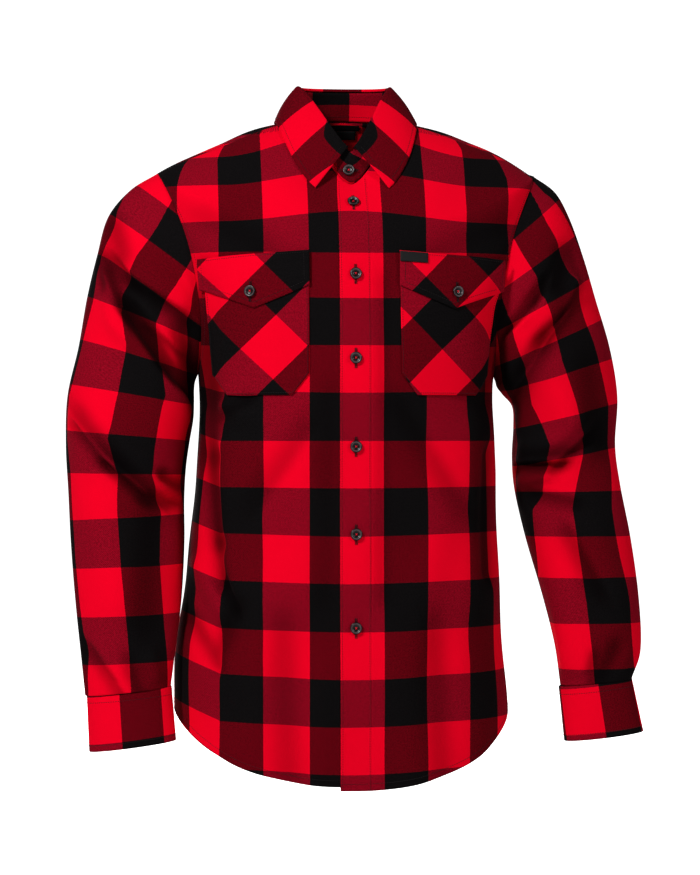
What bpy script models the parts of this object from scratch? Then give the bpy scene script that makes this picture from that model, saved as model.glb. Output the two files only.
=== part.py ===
"""Long-sleeved flannel shirt, buttoned and filled out as if worn.

Every length in the tables is in millimetres and becomes metres when a mesh is made.
+X is the viewer's right, the shirt faces -Y, and +Z is up. The origin is the middle of
the neck at the height of the shoulder line, where a wearer's shoulders hold the shirt.
"""

from collections import namedtuple

import bmesh
import bpy
import numpy as np

MM = 0.001
CLOTH = 1.5            # wall of one layer of brushed cloth
SEAM = 0.3             # gap between two sewn pieces
LAP = CLOTH + SEAM     # how far an upper layer stands above the one that it laps
STAND_WALL = 2.0       # the collar stand is doubled and stiffened
LIE = 1.0              # gap under a pocket, flap or band that lies on rounded cloth

# ---------------------------------------------------------------- the body's cut
# A ring of the body is a rounded loop: half widths to each side, depths to the front
# and back, and heights at the front, side and back. v runs from the hem to the neck.
Ring = namedtuple("Ring", "v front_z side_z back_z left right front back round_front round_back dip")
BODY_RINGS = (
    Ring(0.00, -786, -700, -806, 207, 193, 138, 132, 2.25, 2.25, 1.45),
    Ring(0.15, -690, -618, -702, 203, 189, 137, 128, 2.25, 2.25, 1.5),
    Ring(0.30, -580, -530, -588, 192, 184, 134, 120, 2.25, 2.25, 1.6),
    Ring(0.45, -450, -425, -455, 181, 180, 132, 113, 2.30, 2.30, 1.6),
    Ring(0.60, -301, -301, -301, 178, 178, 132, 117, 2.30, 2.30, 1.6),
    Ring(0.66, -255, -243, -248, 187, 187, 131, 121, 2.30, 2.30, 1.6),
    Ring(0.72, -210, -181, -190, 203, 203, 127, 123, 2.30, 2.30, 1.7),
    Ring(0.78, -168, -118, -130, 218, 218, 120, 119, 2.27, 2.27, 1.8),
    Ring(0.84, -133, -61, -72, 227, 227, 112, 109, 2.20, 2.20, 1.9),
    Ring(0.88, -120, -55, -56, 217, 217, 107, 101, 2.15, 2.15, 1.9),
    Ring(0.92, -110, -43, -41, 194, 194, 101, 91, 2.10, 2.10, 2.0),
    Ring(0.96, -99, -24, -20, 152, 152, 93, 78, 1.95, 2.05, 2.2),
    Ring(0.985, -90, -6, -4, 108, 108, 85, 67, 1.75, 2.00, 2.3),
    Ring(1.00, -80, 3, 8, 69, 66, 76, 58, 1.60, 2.00, 2.4),
)
V_ARMPIT = 0.60
V_SHOULDER = 0.84
ARMHOLE_FRONT = 19.5   # degrees that the armhole cuts into the front
ARMHOLE_BACK = 16.0    # and into the back
SIDE = 90.0            # angle of the side seam and of the shoulder ridge
BACK_SEAM_TURN = 300.0 # turn on the armhole where the back meets the yoke

# How far the yoke's front seam lies ahead of the shoulder ridge, in degrees.
YokeEdge = namedtuple("YokeEdge", "v ahead")
YOKE_FRONT = (
    YokeEdge(0.84, 0.0),
    YokeEdge(0.90, 3.5),
    YokeEdge(0.95, 8.0),
    YokeEdge(0.98, 11.5),
    YokeEdge(1.00, 13.0),
)

# ---------------------------------------------------------------- the sleeves' cut
# A sleeve ring is named by its outer and inner points, how far from the middle each
# stands and at what height, with the ring's middle depth y and half depth.
SleeveRing = namedtuple("SleeveRing", "u out_x out_z in_x in_z y deep")
SLEEVE_LEFT = (
    SleeveRing(0.00, 227, -61, 178, -301, 0, 62),
    SleeveRing(0.07, 259, -81, 180, -305, 0, 66),
    SleeveRing(0.14, 285, -112, 182, -311, 0, 68),
    SleeveRing(0.22, 299, -160, 183, -321, -1, 68),
    SleeveRing(0.30, 311, -211, 183, -335, -2, 66),
    SleeveRing(0.38, 321, -269, 184, -356, -3, 63),
    SleeveRing(0.46, 334, -327, 189, -385, -5, 60),
    SleeveRing(0.54, 336, -385, 193, -415, -7, 57),
    SleeveRing(0.62, 333, -442, 195, -452, -12, 54),
    SleeveRing(0.70, 330, -500, 195, -500, -21, 51),
    SleeveRing(0.80, 324, -575, 199, -570, -35, 46),
    SleeveRing(0.90, 317, -640, 207, -632, -48, 38),
    SleeveRing(1.00, 313, -680, 212, -670, -56, 31),
)
SLEEVE_RIGHT = (
    SleeveRing(0.00, 227, -61, 178, -301, 0, 62),
    SleeveRing(0.07, 253, -80, 180, -305, 0, 66),
    SleeveRing(0.14, 270, -110, 182, -310, 0, 68),
    SleeveRing(0.22, 288, -160, 184, -317, -1, 68),
    SleeveRing(0.30, 303, -211, 191, -326, -2, 66),
    SleeveRing(0.38, 320, -269, 202, -340, -3, 62),
    SleeveRing(0.46, 329, -327, 203, -365, -5, 59),
    SleeveRing(0.54, 326, -385, 201, -400, -7, 56),
    SleeveRing(0.62, 331, -432, 203, -438, -12, 53),
    SleeveRing(0.70, 342, -495, 214, -492, -21, 50),
    SleeveRing(0.80, 350, -570, 232, -560, -35, 45),
    SleeveRing(0.90, 350, -630, 246, -622, -48, 37),
    SleeveRing(1.00, 338, -664, 252, -672, -56, 29),
)
CAP_END = 0.46         # u where the sleeve has left the armhole's own shape

# A cuff is a band round its sleeve's end, from its top seam to its free edge.
CuffEnd = namedtuple("CuffEnd", "out_x out_z in_x in_z y deep")
CUFF_LEFT = (CuffEnd(311, -680, 211, -670, -56, 29), CuffEnd(308, -745, 206, -732, -66, 28))
CUFF_RIGHT = (CuffEnd(338, -664, 250, -674, -56, 28), CuffEnd(350, -726, 255, -737, -66, 27))
CUFF_LAP = 24.0        # degrees that one cuff end laps the other
CUFF_OPENING = 285.0   # angle round the sleeve of its slit, behind and outside
CUFF_CLIMB = 30.0      # degrees over which the upper end climbs onto the lower one
SLIT_MIDDLE = 297.0    # angle of the band beside the slit
SLIT_HALF = 12.0       # half its width, in degrees
SLIT_TOP = 0.76        # u of its pointed top
SLIT_LOW = 0.985       # and of its foot, just above the cuff

# ---------------------------------------------------------------- folds
# A fold is a soft trough (depth below 0) or ridge on the front (face 1) or back
# (face -1), between two places named by their x and z.
Fold = namedtuple("Fold", "face x0 z0 x1 z1 width depth")
BODY_FOLDS = (
    Fold(1, -160, -372, -150, -575, 12, -8),
    Fold(1, -137, -375, -128, -560, 15, 4),
    Fold(1, 162, -400, 158, -535, 12, -7),
    Fold(1, 142, -400, 140, -540, 14, 3),
    Fold(1, -60, -372, -112, -450, 17, -3),
    Fold(1, 72, -350, 128, -455, 18, -3),
    Fold(1, -112, -640, -120, -790, 22, 4),
    Fold(1, -50, -680, -52, -800, 20, -4),
    Fold(1, 58, -650, 62, -800, 20, 4),
    Fold(1, 112, -660, 118, -800, 22, -4),
    Fold(-1, -120, -190, -104, -560, 17, 4),
    Fold(-1, -86, -260, -84, -600, 14, -4),
    Fold(-1, 118, -200, 108, -540, 17, 4),
    Fold(-1, 88, -240, 92, -620, 14, -4),
    Fold(-1, -158, -330, -150, -620, 10, -6),
    Fold(-1, 156, -320, 150, -600, 10, -6),
    Fold(-1, -40, -640, -46, -820, 24, 4),
    Fold(-1, 48, -650, 50, -820, 22, -4),
)
SLEEVE_FOLDS_LEFT = (
    Fold(1, -245, -196, -196, -238, 8, -5),
    Fold(1, -277, -184, -226, -300, 9, -5),
    Fold(1, -300, -180, -270, -252, 8, -4),
    Fold(1, -318, -370, -288, -410, 10, -6),
    Fold(1, -288, -410, -240, -452, 10, -7),
    Fold(1, -240, -452, -205, -440, 8, -5),
    Fold(1, -310, -398, -262, -456, 11, 4),
    Fold(1, -305, -634, -275, -672, 9, -4),
    Fold(-1, -262, -200, -212, -262, 9, -5),
    Fold(-1, -294, -220, -246, -330, 10, -5),
    Fold(-1, -314, -400, -250, -436, 11, -6),
    Fold(-1, -316, -424, -262, -470, 12, 4),
    Fold(-1, -290, -600, -262, -668, 10, -4),
)
SLEEVE_FOLDS_RIGHT = (
    Fold(1, 192, -202, 236, -213, 8, 4),
    Fold(1, 195, -216, 249, -170, 8, -5),
    Fold(1, 249, -214, 268, -252, 9, -4),
    Fold(1, 222, -258, 262, -318, 9, -4),
    Fold(1, 212, -410, 254, -410, 9, -7),
    Fold(1, 254, -410, 292, -380, 10, -6),
    Fold(1, 216, -428, 262, -434, 11, 4),
    Fold(1, 320, -628, 300, -660, 9, -4),
    Fold(-1, 208, -226, 258, -196, 9, -5),
    Fold(-1, 226, -270, 282, -330, 10, -5),
    Fold(-1, 226, -402, 306, -432, 11, -6),
    Fold(-1, 236, -444, 300, -458, 12, 4),
    Fold(-1, 300, -600, 290, -660, 10, -4),
)

# ---------------------------------------------------------------- front closing
PLACKET_X = (-17.5, -6.0, 5.5, 18.5)   # from the placket's free edge to its sewn edge
UNDER_X = (-6.0, 5.5, 17.0)            # the under front's columns below the placket
LIFT_END = 62.0        # x where the upper front has settled onto the body
UNDER_HEM = 0.006      # the under front's hem stops this much v short of the placket

# ---------------------------------------------------------------- collar
# The top of the collar stand, a teardrop ring pointed at the front.
STAND_TOP = Ring(0.0, -41, 40, 43, 56, 51, 66, 50, 1.25, 2.1, 1.5)
STAND_OVERLAP = 16.5   # degrees that each end of the stand passes the middle
STAND_BOW = 0.5        # how far the stand's middle rounds out
STAND_LAP = STAND_WALL + SEAM
STAND_FOOT = 2.6       # gap between the stand and the neck seam's faceted edge
STAND_BUTTON_ANGLE = 2.0
STAND_BUTTON_T = 0.42  # its height on the stand
STAND_CLIMB_FROM = 60.0  # degrees past the back where the last end starts to climb
STAND_CLIMB = 45.0
STAND_END = 5.0        # degrees over which each end rounds off
STAND_END_LOW = 0.45   # height left at its tip, as a share
STAND_FOOT_SHARE = 0.7 # how much the climb lifts the foot too
ROLL = 3.2             # radius of the collar's roll
ROLL_TURN = 140.0      # degrees of the roll's arc
ROLL_SHARE = 0.25      # part of the leaf's t that the arc takes
ROLL_ROOM = 1.0        # more room for the roll where the stand laps itself
ROLL_ROOM_FROM = 18.0  # degrees from the front where that room starts to end
ROLL_ROOM_OVER = 42.0
LEAF_LEAN = 0.35       # upward lean of the leaf's bulge
LEAF_CLEAR = 2.6       # the leaf's edge above the cloth that it lies on

# The leaf from its front edge (u = 0) past the middle of the back (u = 1): the angle on
# the stand's top, and the angle and ring of the place that its edge falls to.
LeafRow = namedtuple("LeafRow", "u roll fall v bulge")
LEAF = (
    LeafRow(0.00, 2.5, 27.5, 0.970, 1),
    LeafRow(0.15, 24, 41, 0.980, 3),
    LeafRow(0.32, 52, 62, 0.989, 5),
    LeafRow(0.52, 90, 92, 0.9935, 5),
    LeafRow(0.76, 136, 136, 0.987, 6),
    LeafRow(1.00, 180, 180, 0.983, 6),
    LeafRow(1.24, 224, 224, 0.987, 6),
)

# ---------------------------------------------------------------- pockets and flaps
# Corners of a pocket by x and z, on the viewer's right; the other one is mirrored.
POCKET_INNER = 54.0
POCKET_OUTER_TOP = 177.0
POCKET_OUTER_LOW = 163.0
POCKET_TOP_IN = -172.0
POCKET_TOP_OUT = -180.0
POCKET_LOW = -327.0
POCKET_CORNER = 0.17   # share of the width that each cut-off corner takes
POCKET_RISE = 0.16     # share of the height that it rises
POCKET_STAND_OFF = 1.1 # how far its outer edge stands off the rounded chest
STAND_OFF_FROM = 0.5   # share of the width where it starts to stand off
STAND_OFF_OVER = 0.4
FLAP_TOP_IN = -160.0
FLAP_TOP_OUT = -168.0
FLAP_SIDE = 0.60       # the flap's sides, as a share of its height at the point
FLAP_TIP = -226.0      # height of its point
FLAP_OVERHANG = 1.0    # how far the flap passes each side of its pocket
TAB_WIDTH = 31.0
TAB_DROP = 12.0
TAB_START = 0.06       # the tab starts this share of its drop below the flap's top
RIBBON = 0.8           # thickness of the tab, the loop and the label

# ---------------------------------------------------------------- small pieces
BUTTON_RADIUS = 7.0
BUTTON_THICK = 3.0
CUFF_BUTTON = 0.9      # size of a cuff's button beside the others
# Radius and height of the button's profile, as shares, from its foot to its middle.
BUTTON_PROFILE = ((0.80, 0.0), (1.0, 0.35), (0.97, 0.85), (0.82, 1.0), (0.62, 0.62), (0.0, 0.55))
FRONT_BUTTON_HEIGHTS = (-102, -187, -284.5, -387.5, -489.5, -598)
POCKET_BUTTON_X = 119.0
POCKET_BUTTON_Z = -207.0
LOOP_WIDTH = 44.0
LOOP_DROP = 7.0
LOOP_TOP = 1.5         # below the neck seam
LABEL_WIDTH = 34.0
LABEL_DROP = 13.0
LABEL_GAP = 1.0        # between the loop and the label

# ---------------------------------------------------------------- mesh steps
HOLE_STEPS = 12        # rows of a front from the armpit to the shoulder
LOW_ROWS = 9           # rows from the hem to the armpit
TOP_ROWS = 6           # rows from the shoulder point to the neck
FRONT_COLUMNS = 12     # of the upper front, from the placket to the side
BACK_COLUMNS = 18
YOKE_COLUMNS = 22
SLEEVE_ROUND = 24
SLEEVE_ROWS = 19
CUFF_ROUND = 28
STAND_COLUMNS = 46
LEAF_COLUMNS = 36
BUTTON_SIDES = 14

RED = (0.55, 0.004, 0.016)
BLACK = (0.012, 0.011, 0.012)
DARK_RED = (0.16, 0.004, 0.012)


# ================================================================ shapes
def smooth_through(knots, values, at):
    """Cubic curve through the named knots, its slopes taken from their neighbours."""
    knots = np.asarray(knots, float)
    values = np.asarray(values, float)
    slopes = np.gradient(values, knots)
    low = np.clip(np.searchsorted(knots, at, side="right") - 1, 0, len(knots) - 2)
    span = knots[low + 1] - knots[low]
    t = (at - knots[low]) / span
    rise = 3 * t**2 - 2 * t**3
    start = values[low] * (1 - rise) + slopes[low] * span * (t**3 - 2 * t**2 + t)
    return start + values[low + 1] * rise + slopes[low + 1] * span * (t**3 - t**2)


def column(rows, name, at):
    """One column of a table as a smooth curve over the table's first column."""
    return smooth_through([row[0] for row in rows], [getattr(row, name) for row in rows], at)


def fade(t):
    """Smooth step from 0 to 1."""
    t = np.clip(t, 0, 1)
    return t * t * (3 - 2 * t)


def unit(vectors):
    """Vectors brought to length 1."""
    return vectors / np.linalg.norm(vectors, axis=-1, keepdims=True)


def loop_point(angle, ring):
    """Point of a rounded loop at an angle from the front, +90 towards +X."""
    sine = np.sin(np.radians(angle))
    cosine = np.cos(np.radians(angle))
    wide = np.where(sine > 0, ring.right, ring.left)
    deep = np.where(cosine > 0, ring.front, ring.back)
    power = np.where(cosine > 0, ring.round_front, ring.round_back)
    end_z = np.where(cosine > 0, ring.front_z, ring.back_z)
    spread = np.abs(sine / wide) ** power + np.abs(cosine / deep) ** power
    radius = spread ** (-1 / power)
    ahead = np.abs(radius * cosine) / deep
    z = ring.side_z + (end_z - ring.side_z) * ahead**ring.dip
    return np.stack((radius * sine, -radius * cosine, z), -1)


def body_base(angle, v):
    """The body's surface without its folds."""
    angle, v = np.broadcast_arrays(np.asarray(angle, float), np.asarray(v, float))
    ring = Ring(v, *(column(BODY_RINGS, name, v) for name in Ring._fields[1:]))
    return loop_point(angle, ring)


def normals_of(surface, p, q, step_p, step_q):
    """Unit normals of a surface from its two slopes."""
    along_p = surface(p + step_p, q) - surface(p - step_p, q)
    along_q = surface(p, q + step_q) - surface(p, q - step_q)
    return unit(np.cross(along_p, along_q))


def fold_lift(points, normals, folds):
    """How far the folds raise each point along its normal."""
    lift = np.zeros(points.shape[:-1])
    for fold in folds:
        run = np.array((fold.x1 - fold.x0, fold.z1 - fold.z0), float)
        length = np.linalg.norm(run)
        run /= length
        dx = points[..., 0] - fold.x0
        dz = points[..., 2] - fold.z0
        along = dx * run[0] + dz * run[1]
        beside = dz * run[0] - dx * run[1]
        past = np.maximum(np.maximum(-along, along - length), 0)
        facing = fade(-fold.face * normals[..., 1] * 2)
        shape = np.exp(-((beside / fold.width) ** 2) - (past / (1.3 * fold.width)) ** 2)
        lift += fold.depth * facing * shape
    return lift


def body(angle, v):
    """The body's outer surface with its folds."""
    base = body_base(angle, v)
    normals = normals_of(body_base, angle, v, 0.2, 0.001)
    return base + fold_lift(base, normals, BODY_FOLDS)[..., None] * normals


def body_normals(angle, v):
    """Outward normals of the folded body."""
    return normals_of(body, angle, v, 0.2, 0.001)


def locate(x, z):
    """Angle and v of the front's point seen at x and z, by Newton steps."""
    x, z = np.broadcast_arrays(np.asarray(x, float), np.asarray(z, float))
    angle = np.degrees(np.arctan2(x, 125.0))
    v = np.interp(z, [row.front_z for row in BODY_RINGS], [row.v for row in BODY_RINGS])
    for _ in range(12):
        here = body_base(angle, v)
        by_angle = (body_base(angle + 0.1, v) - here) / 0.1
        by_v = (body_base(angle, v + 0.001) - here) / 0.001
        dx = x - here[..., 0]
        dz = z - here[..., 2]
        det = by_angle[..., 0] * by_v[..., 2] - by_v[..., 0] * by_angle[..., 2]
        angle = angle + (dx * by_v[..., 2] - dz * by_v[..., 0]) / det
        v = np.clip(v + (dz * by_angle[..., 0] - dx * by_angle[..., 2]) / det, 0.0, 1.0)
    return angle, v


def armhole(turn):
    """Angle and v of the armhole at a turn: 0 shoulder, 90 front, 180 armpit, 270 back."""
    middle = (V_ARMPIT + V_SHOULDER) / 2
    half = (V_SHOULDER - V_ARMPIT) / 2
    sine = np.sin(np.radians(turn))
    depth = np.where(sine > 0, ARMHOLE_FRONT, ARMHOLE_BACK)
    return SIDE - depth * sine, middle + half * np.cos(np.radians(turn))


def hole_rows(first, last, count):
    """v of the rows that end on the armhole between two turns."""
    return armhole(np.linspace(first, last, count + 1))[1]


def front_side(v):
    """Angle where a front ends: side seam, armhole or yoke seam."""
    middle = (V_ARMPIT + V_SHOULDER) / 2
    half = (V_SHOULDER - V_ARMPIT) / 2
    reach = np.clip(1 - ((v - middle) / half) ** 2, 0, 1)
    seam = np.where(v > V_SHOULDER, column(YOKE_FRONT, "ahead", v), 0)
    return SIDE - ARMHOLE_FRONT * np.sqrt(reach) - seam


def back_side(v):
    """Angle where the back or the yoke ends, on the +X side."""
    middle = (V_ARMPIT + V_SHOULDER) / 2
    half = (V_SHOULDER - V_ARMPIT) / 2
    reach = np.clip(1 - ((v - middle) / half) ** 2, 0, 1)
    seam = np.where(v > V_SHOULDER, column(YOKE_FRONT, "ahead", v), 0)
    return SIDE + ARMHOLE_BACK * np.sqrt(reach) - seam


def front_angle(x, v):
    """Angle of the front's point at a small x."""
    return np.degrees(np.arctan2(x, column(BODY_RINGS, "front", v)))


def sleeve_base(side, turn, u):
    """Sleeve surface without folds; side is 1 on +X and -1 on -X.

    Each ring is an ellipse through its outer and inner points, and near the armhole
    it moves over to the armhole's own loop.
    """
    rows = SLEEVE_RIGHT if side > 0 else SLEEVE_LEFT
    turn, u = np.broadcast_arrays(np.asarray(turn, float), np.asarray(u, float))
    ring = SleeveRing(u, *(column(rows, name, u) for name in SleeveRing._fields[1:]))
    cosine = np.cos(np.radians(turn))
    sine = np.sin(np.radians(turn))
    x = (ring.out_x + ring.in_x) / 2 + (ring.out_x - ring.in_x) / 2 * cosine
    z = (ring.out_z + ring.in_z) / 2 + (ring.out_z - ring.in_z) / 2 * cosine
    oval = np.stack((side * x, ring.y - ring.deep * sine, z), -1)
    first = rows[0]
    start_x = (first.out_x + first.in_x) / 2 + (first.out_x - first.in_x) / 2 * cosine
    start_z = (first.out_z + first.in_z) / 2 + (first.out_z - first.in_z) / 2 * cosine
    start = np.stack((side * start_x, first.y - first.deep * sine, start_z), -1)
    angle, v = armhole(turn)
    hole = body_base(side * angle, v)
    return oval + (hole - start) * (1 - fade(u / CAP_END))[..., None]


def sleeve(side, turn, u):
    """Sleeve surface with its folds, which die away at the armhole and the cuff."""
    folds = SLEEVE_FOLDS_RIGHT if side > 0 else SLEEVE_FOLDS_LEFT
    base = sleeve_base(side, turn, u)
    normals = sleeve_base_normals(side, turn, u)
    calm = fade(u / 0.08) * fade((1 - u) / 0.05)
    return base + (fold_lift(base, normals, folds) * calm)[..., None] * normals


def sleeve_base_normals(side, turn, u):
    """Outward normals of the sleeve without folds."""
    return side * normals_of(lambda p, q: sleeve_base(side, p, q), turn, u, 1.0, 0.002)


def sleeve_normals(side, turn, u):
    """Outward normals of the folded sleeve."""
    return side * normals_of(lambda p, q: sleeve(side, p, q), turn, u, 1.0, 0.002)


# ================================================================ meshes
def cloth_material(name, color, roughness=0.85):
    """A plain material in the piece's main colour."""
    material = bpy.data.materials.new(name)
    material.use_nodes = True
    shader = material.node_tree.nodes["Principled BSDF"]
    shader.inputs["Base Color"].default_value = (*color, 1)
    shader.inputs["Roughness"].default_value = roughness
    return material


def add_object(name, vertices, faces, color, roughness=0.85):
    """Make one smooth-shaded object from points in millimetres."""
    mesh = bpy.data.meshes.new(name)
    mesh.from_pydata((np.asarray(vertices) * MM).tolist(), [], faces)
    work = bmesh.new()
    work.from_mesh(mesh)
    bmesh.ops.recalc_face_normals(work, faces=work.faces)
    work.to_mesh(mesh)
    work.free()
    mesh.materials.append(cloth_material(name + "_cloth", color, roughness))
    mesh.shade_smooth()
    mesh.set_sharp_from_angle(angle=np.radians(40))
    item = bpy.data.objects.new(name, mesh)
    bpy.context.scene.collection.objects.link(item)
    return item


def wall(name, outer, inner, color, closed=False):
    """Close two matching grids of points into one wall; closed joins the last column."""
    rows, columns = outer.shape[:2]
    count = rows * columns
    vertices = np.concatenate((outer.reshape(-1, 3), inner.reshape(-1, 3)))
    last = columns if closed else columns - 1
    faces = []
    for row in range(rows - 1):
        for left in range(last):
            right = (left + 1) % columns
            a, b = row * columns + left, row * columns + right
            c, d = b + columns, a + columns
            faces.extend(((a, b, c), (a, c, d)))
            faces.extend(((count + a, count + c, count + b), (count + a, count + d, count + c)))
    for row in (0, rows - 1):
        for left in range(last):
            a = row * columns + left
            b = row * columns + (left + 1) % columns
            faces.append((a, count + a, count + b, b))
    if not closed:
        for row in range(rows - 1):
            for side in (0, columns - 1):
                a = row * columns + side
                b = a + columns
                faces.append((a, b, count + b, count + a))
    return add_object(name, vertices, faces, color)


def draw_in(grid, rows=(True, True), columns=(True, True)):
    """Pull the chosen edges of a grid half a seam gap towards their neighbours."""
    grid = grid.copy()
    if rows[0]:
        grid[0] += unit(grid[1] - grid[0]) * SEAM / 2
    if rows[1]:
        grid[-1] += unit(grid[-2] - grid[-1]) * SEAM / 2
    if columns[0]:
        grid[:, 0] += unit(grid[:, 1] - grid[:, 0]) * SEAM / 2
    if columns[1]:
        grid[:, -1] += unit(grid[:, -2] - grid[:, -1]) * SEAM / 2
    return grid


def front_v():
    """v of the fronts' rows from hem to neck."""
    low = np.linspace(0, V_ARMPIT, LOW_ROWS + 1)[:-1]
    hole = hole_rows(180, 0, HOLE_STEPS)
    top = np.linspace(V_SHOULDER, 1, TOP_ROWS + 1)[1:]
    return np.concatenate((low, hole, top))


def upper_lift(x):
    """How far the upper front stands above the body beside the placket."""
    return LAP * (1 - fade((x - PLACKET_X[-1]) / (LIFT_END - PLACKET_X[-1])))


def front_grid(side):
    """Angles, v, outer points and normals of a front: side 1 is the upper one, on +X.

    The under front passes below the placket before it turns to its own side.
    """
    if side > 0:
        v = front_v()[:, None]
        start = front_angle(PLACKET_X[-1], v)
        share = np.linspace(0, 1, FRONT_COLUMNS + 1)[None, :]
        angle = start + (front_side(v) - start) * share
    else:
        v = np.maximum(front_v(), UNDER_HEM)[:, None]
        start = front_angle(PLACKET_X[0], v)
        share = np.linspace(1, 0, FRONT_COLUMNS + 2)[None, :]
        beside = start + (-front_side(v) - start) * share
        angle = np.concatenate([beside] + [front_angle(x, v) for x in UNDER_X], axis=1)
    v = v + 0 * angle
    lift = upper_lift(body_base(angle, v)[..., 0]) if side > 0 else 0 * angle
    normals = body_normals(angle, v)
    outer = draw_in(body(angle, v) + normals * lift[..., None], (False, True))
    return angle, v, outer, normals


def build_fronts():
    """The upper front is the wearer's left one, on +X; the other passes under it."""
    for side, name in ((1, "front_left"), (-1, "front_right")):
        _, _, outer, normals = front_grid(side)
        wall(name, outer, outer - normals * CLOTH, RED)


def placket_grid(x, v):
    """Outer points and normals of the placket at places across it."""
    angle = front_angle(x, v)
    normals = body_normals(angle, v)
    return body(angle, v) + normals * LAP, normals


def build_placket():
    """The buttonhole band, proud of the under front by one wall."""
    x = np.array(PLACKET_X)[None, :]
    v = front_v()[:, None]
    outer, normals = placket_grid(x, v)
    outer = draw_in(outer, (False, True), (False, True))
    wall("placket", outer, outer - normals * CLOTH, RED)


def build_back():
    """The back panel, from the hem to the yoke's straight seam."""
    low = np.linspace(0, V_ARMPIT, LOW_ROWS + 1)[:-1]
    hole = hole_rows(180, BACK_SEAM_TURN, HOLE_STEPS * 2 // 3)
    v = np.concatenate((low, hole))[:, None]
    share = np.linspace(0, 1, BACK_COLUMNS + 1)[None, :]
    side = back_side(v)
    angle = side + (360 - 2 * side) * share
    normals = body_normals(angle, v + 0 * share)
    outer = draw_in(body(angle, v + 0 * share), (False, True))
    wall("back", outer, outer - normals * CLOTH, RED)


def yoke_grid():
    """Angles and v of the yoke, from the back seam to the neck."""
    hole = hole_rows(BACK_SEAM_TURN, 360, HOLE_STEPS // 3)
    top = np.linspace(V_SHOULDER, 1, TOP_ROWS + 1)[1:]
    v = np.concatenate((hole, top))[:, None]
    share = np.linspace(0, 1, YOKE_COLUMNS + 1)[None, :]
    side = back_side(v)
    return side + (360 - 2 * side) * share, v + 0 * share


def build_yoke():
    """One piece over both shoulders, drawn in at the back seam too."""
    angle, v = yoke_grid()
    normals = body_normals(angle, v)
    outer = draw_in(body(angle, v), (True, True), (True, True))
    wall("yoke", outer, outer - normals * CLOTH, DARK_RED)


def build_sleeve(side, name):
    """A set-in sleeve from its armhole to the cuff's seam."""
    turn, _, outer, normals = sleeve_grid(side)
    inner = outer - normals * CLOTH
    angle, v = armhole(turn[0])
    normals = body_normals(side * angle, v)
    into = outer[0].mean(axis=0) - outer[0]
    into = unit(into - (into * normals).sum(-1, keepdims=True) * normals)
    edge = body(side * angle, v)
    outer[0] = edge + into * SEAM
    inner[0] = edge + into * (SEAM + CLOTH)
    outer[-1] += unit(outer[-2] - outer[-1]) * SEAM / 2
    inner[-1] += unit(outer[-2] - outer[-1]) * SEAM / 2
    wall(name, outer, inner, RED, closed=True)


def sleeve_grid(side):
    """Turns, u, outer points and normals of a sleeve's mesh."""
    turn = (np.arange(SLEEVE_ROUND) * 360 / SLEEVE_ROUND)[None, :]
    cap = np.linspace(0, CAP_END, 9)[:-1]
    u = np.concatenate((cap, np.linspace(CAP_END, 1, SLEEVE_ROWS - 8)))[:, None]
    return turn + 0 * u, u + 0 * turn, sleeve(side, turn, u), sleeve_normals(side, turn, u)


def build_sleeve_placket(side, name):
    """The band beside the slit above a cuff, lying on the sleeve behind."""
    places, rows, outer, _ = sleeve_grid(side)
    s = np.linspace(-1, 1, 5)[None, :]
    t = np.linspace(0, 1, 7)[:, None]
    turn = SLIT_MIDDLE + SLIT_HALF * s * np.minimum(1, 0.1 + 6 * t) + 0 * t
    u = SLIT_TOP + (SLIT_LOW - SLIT_TOP) * np.maximum(t, 0.09 * np.abs(s) * (t > 0))
    points = on_grid(outer, places, rows[:, 0], turn, u)
    out = sleeve_normals(side, turn, u)
    wall(name, points + out * (LIE + CLOTH), points + out * LIE, RED)


def cuff_point(ends, side, turn, t):
    """Cuff surface; t runs from the top seam to the free edge."""
    top, low = ends
    mix = CuffEnd(*(start + (end - start) * t for start, end in zip(top, low)))
    cosine = np.cos(np.radians(turn))
    sine = np.sin(np.radians(turn))
    x = (mix.out_x + mix.in_x) / 2 + (mix.out_x - mix.in_x) / 2 * cosine
    z = (mix.out_z + mix.in_z) / 2 + (mix.out_z - mix.in_z) / 2 * cosine
    return np.stack((side * x, mix.y - mix.deep * sine, z), -1)


def cuff_normals(ends, side, turn, t):
    """Outward normals of the cuff."""
    return side * normals_of(lambda p, q: cuff_point(ends, side, p, q), turn, t, 1.0, 0.05)


def cuff_layer(turn):
    """How far the cuff's upper end stands above the lower end that it laps."""
    start = CUFF_OPENING + 360 - CUFF_LAP - CUFF_CLIMB
    return LAP * fade((turn - start) / CUFF_CLIMB)


def build_cuff(side, name, ends):
    """A band whose ends lap where the sleeve is slit."""
    turn = np.linspace(CUFF_OPENING, CUFF_OPENING + 360 + CUFF_LAP, CUFF_ROUND + 1)[None, :]
    t = np.linspace(0, 1, 3)[:, None]
    outer = cuff_point(ends, side, turn, t)
    normals = cuff_normals(ends, side, turn, t)
    outer = outer + normals * cuff_layer(turn + 0 * t)[..., None]
    outer = draw_in(outer, (True, False), (False, False))
    wall(name, outer, outer - normals * CLOTH, RED)


# ================================================================ collar
def stand_point(angle, t):
    """Outer face of the collar stand; t runs from the neck seam to its top."""
    angle, t = np.broadcast_arrays(np.asarray(angle, float), np.asarray(t, float))
    low = loop_point(angle, BODY_RINGS[-1])
    top = loop_point(angle, STAND_TOP)
    bow = STAND_BOW * np.sin(np.pi * t)[..., None] * unit(low * (1, 1, 0))
    return low + (top - low) * t[..., None] + bow


def stand_normals(angle, t):
    """Outward normals of the stand."""
    return normals_of(stand_point, angle, t, 0.5, 0.02)


def stand_layer(angle):
    """The stand's last end, ahead on -X, laps its first end and the under front."""
    return STAND_LAP * fade((-angle - 360 + STAND_CLIMB_FROM) / STAND_CLIMB)


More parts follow.
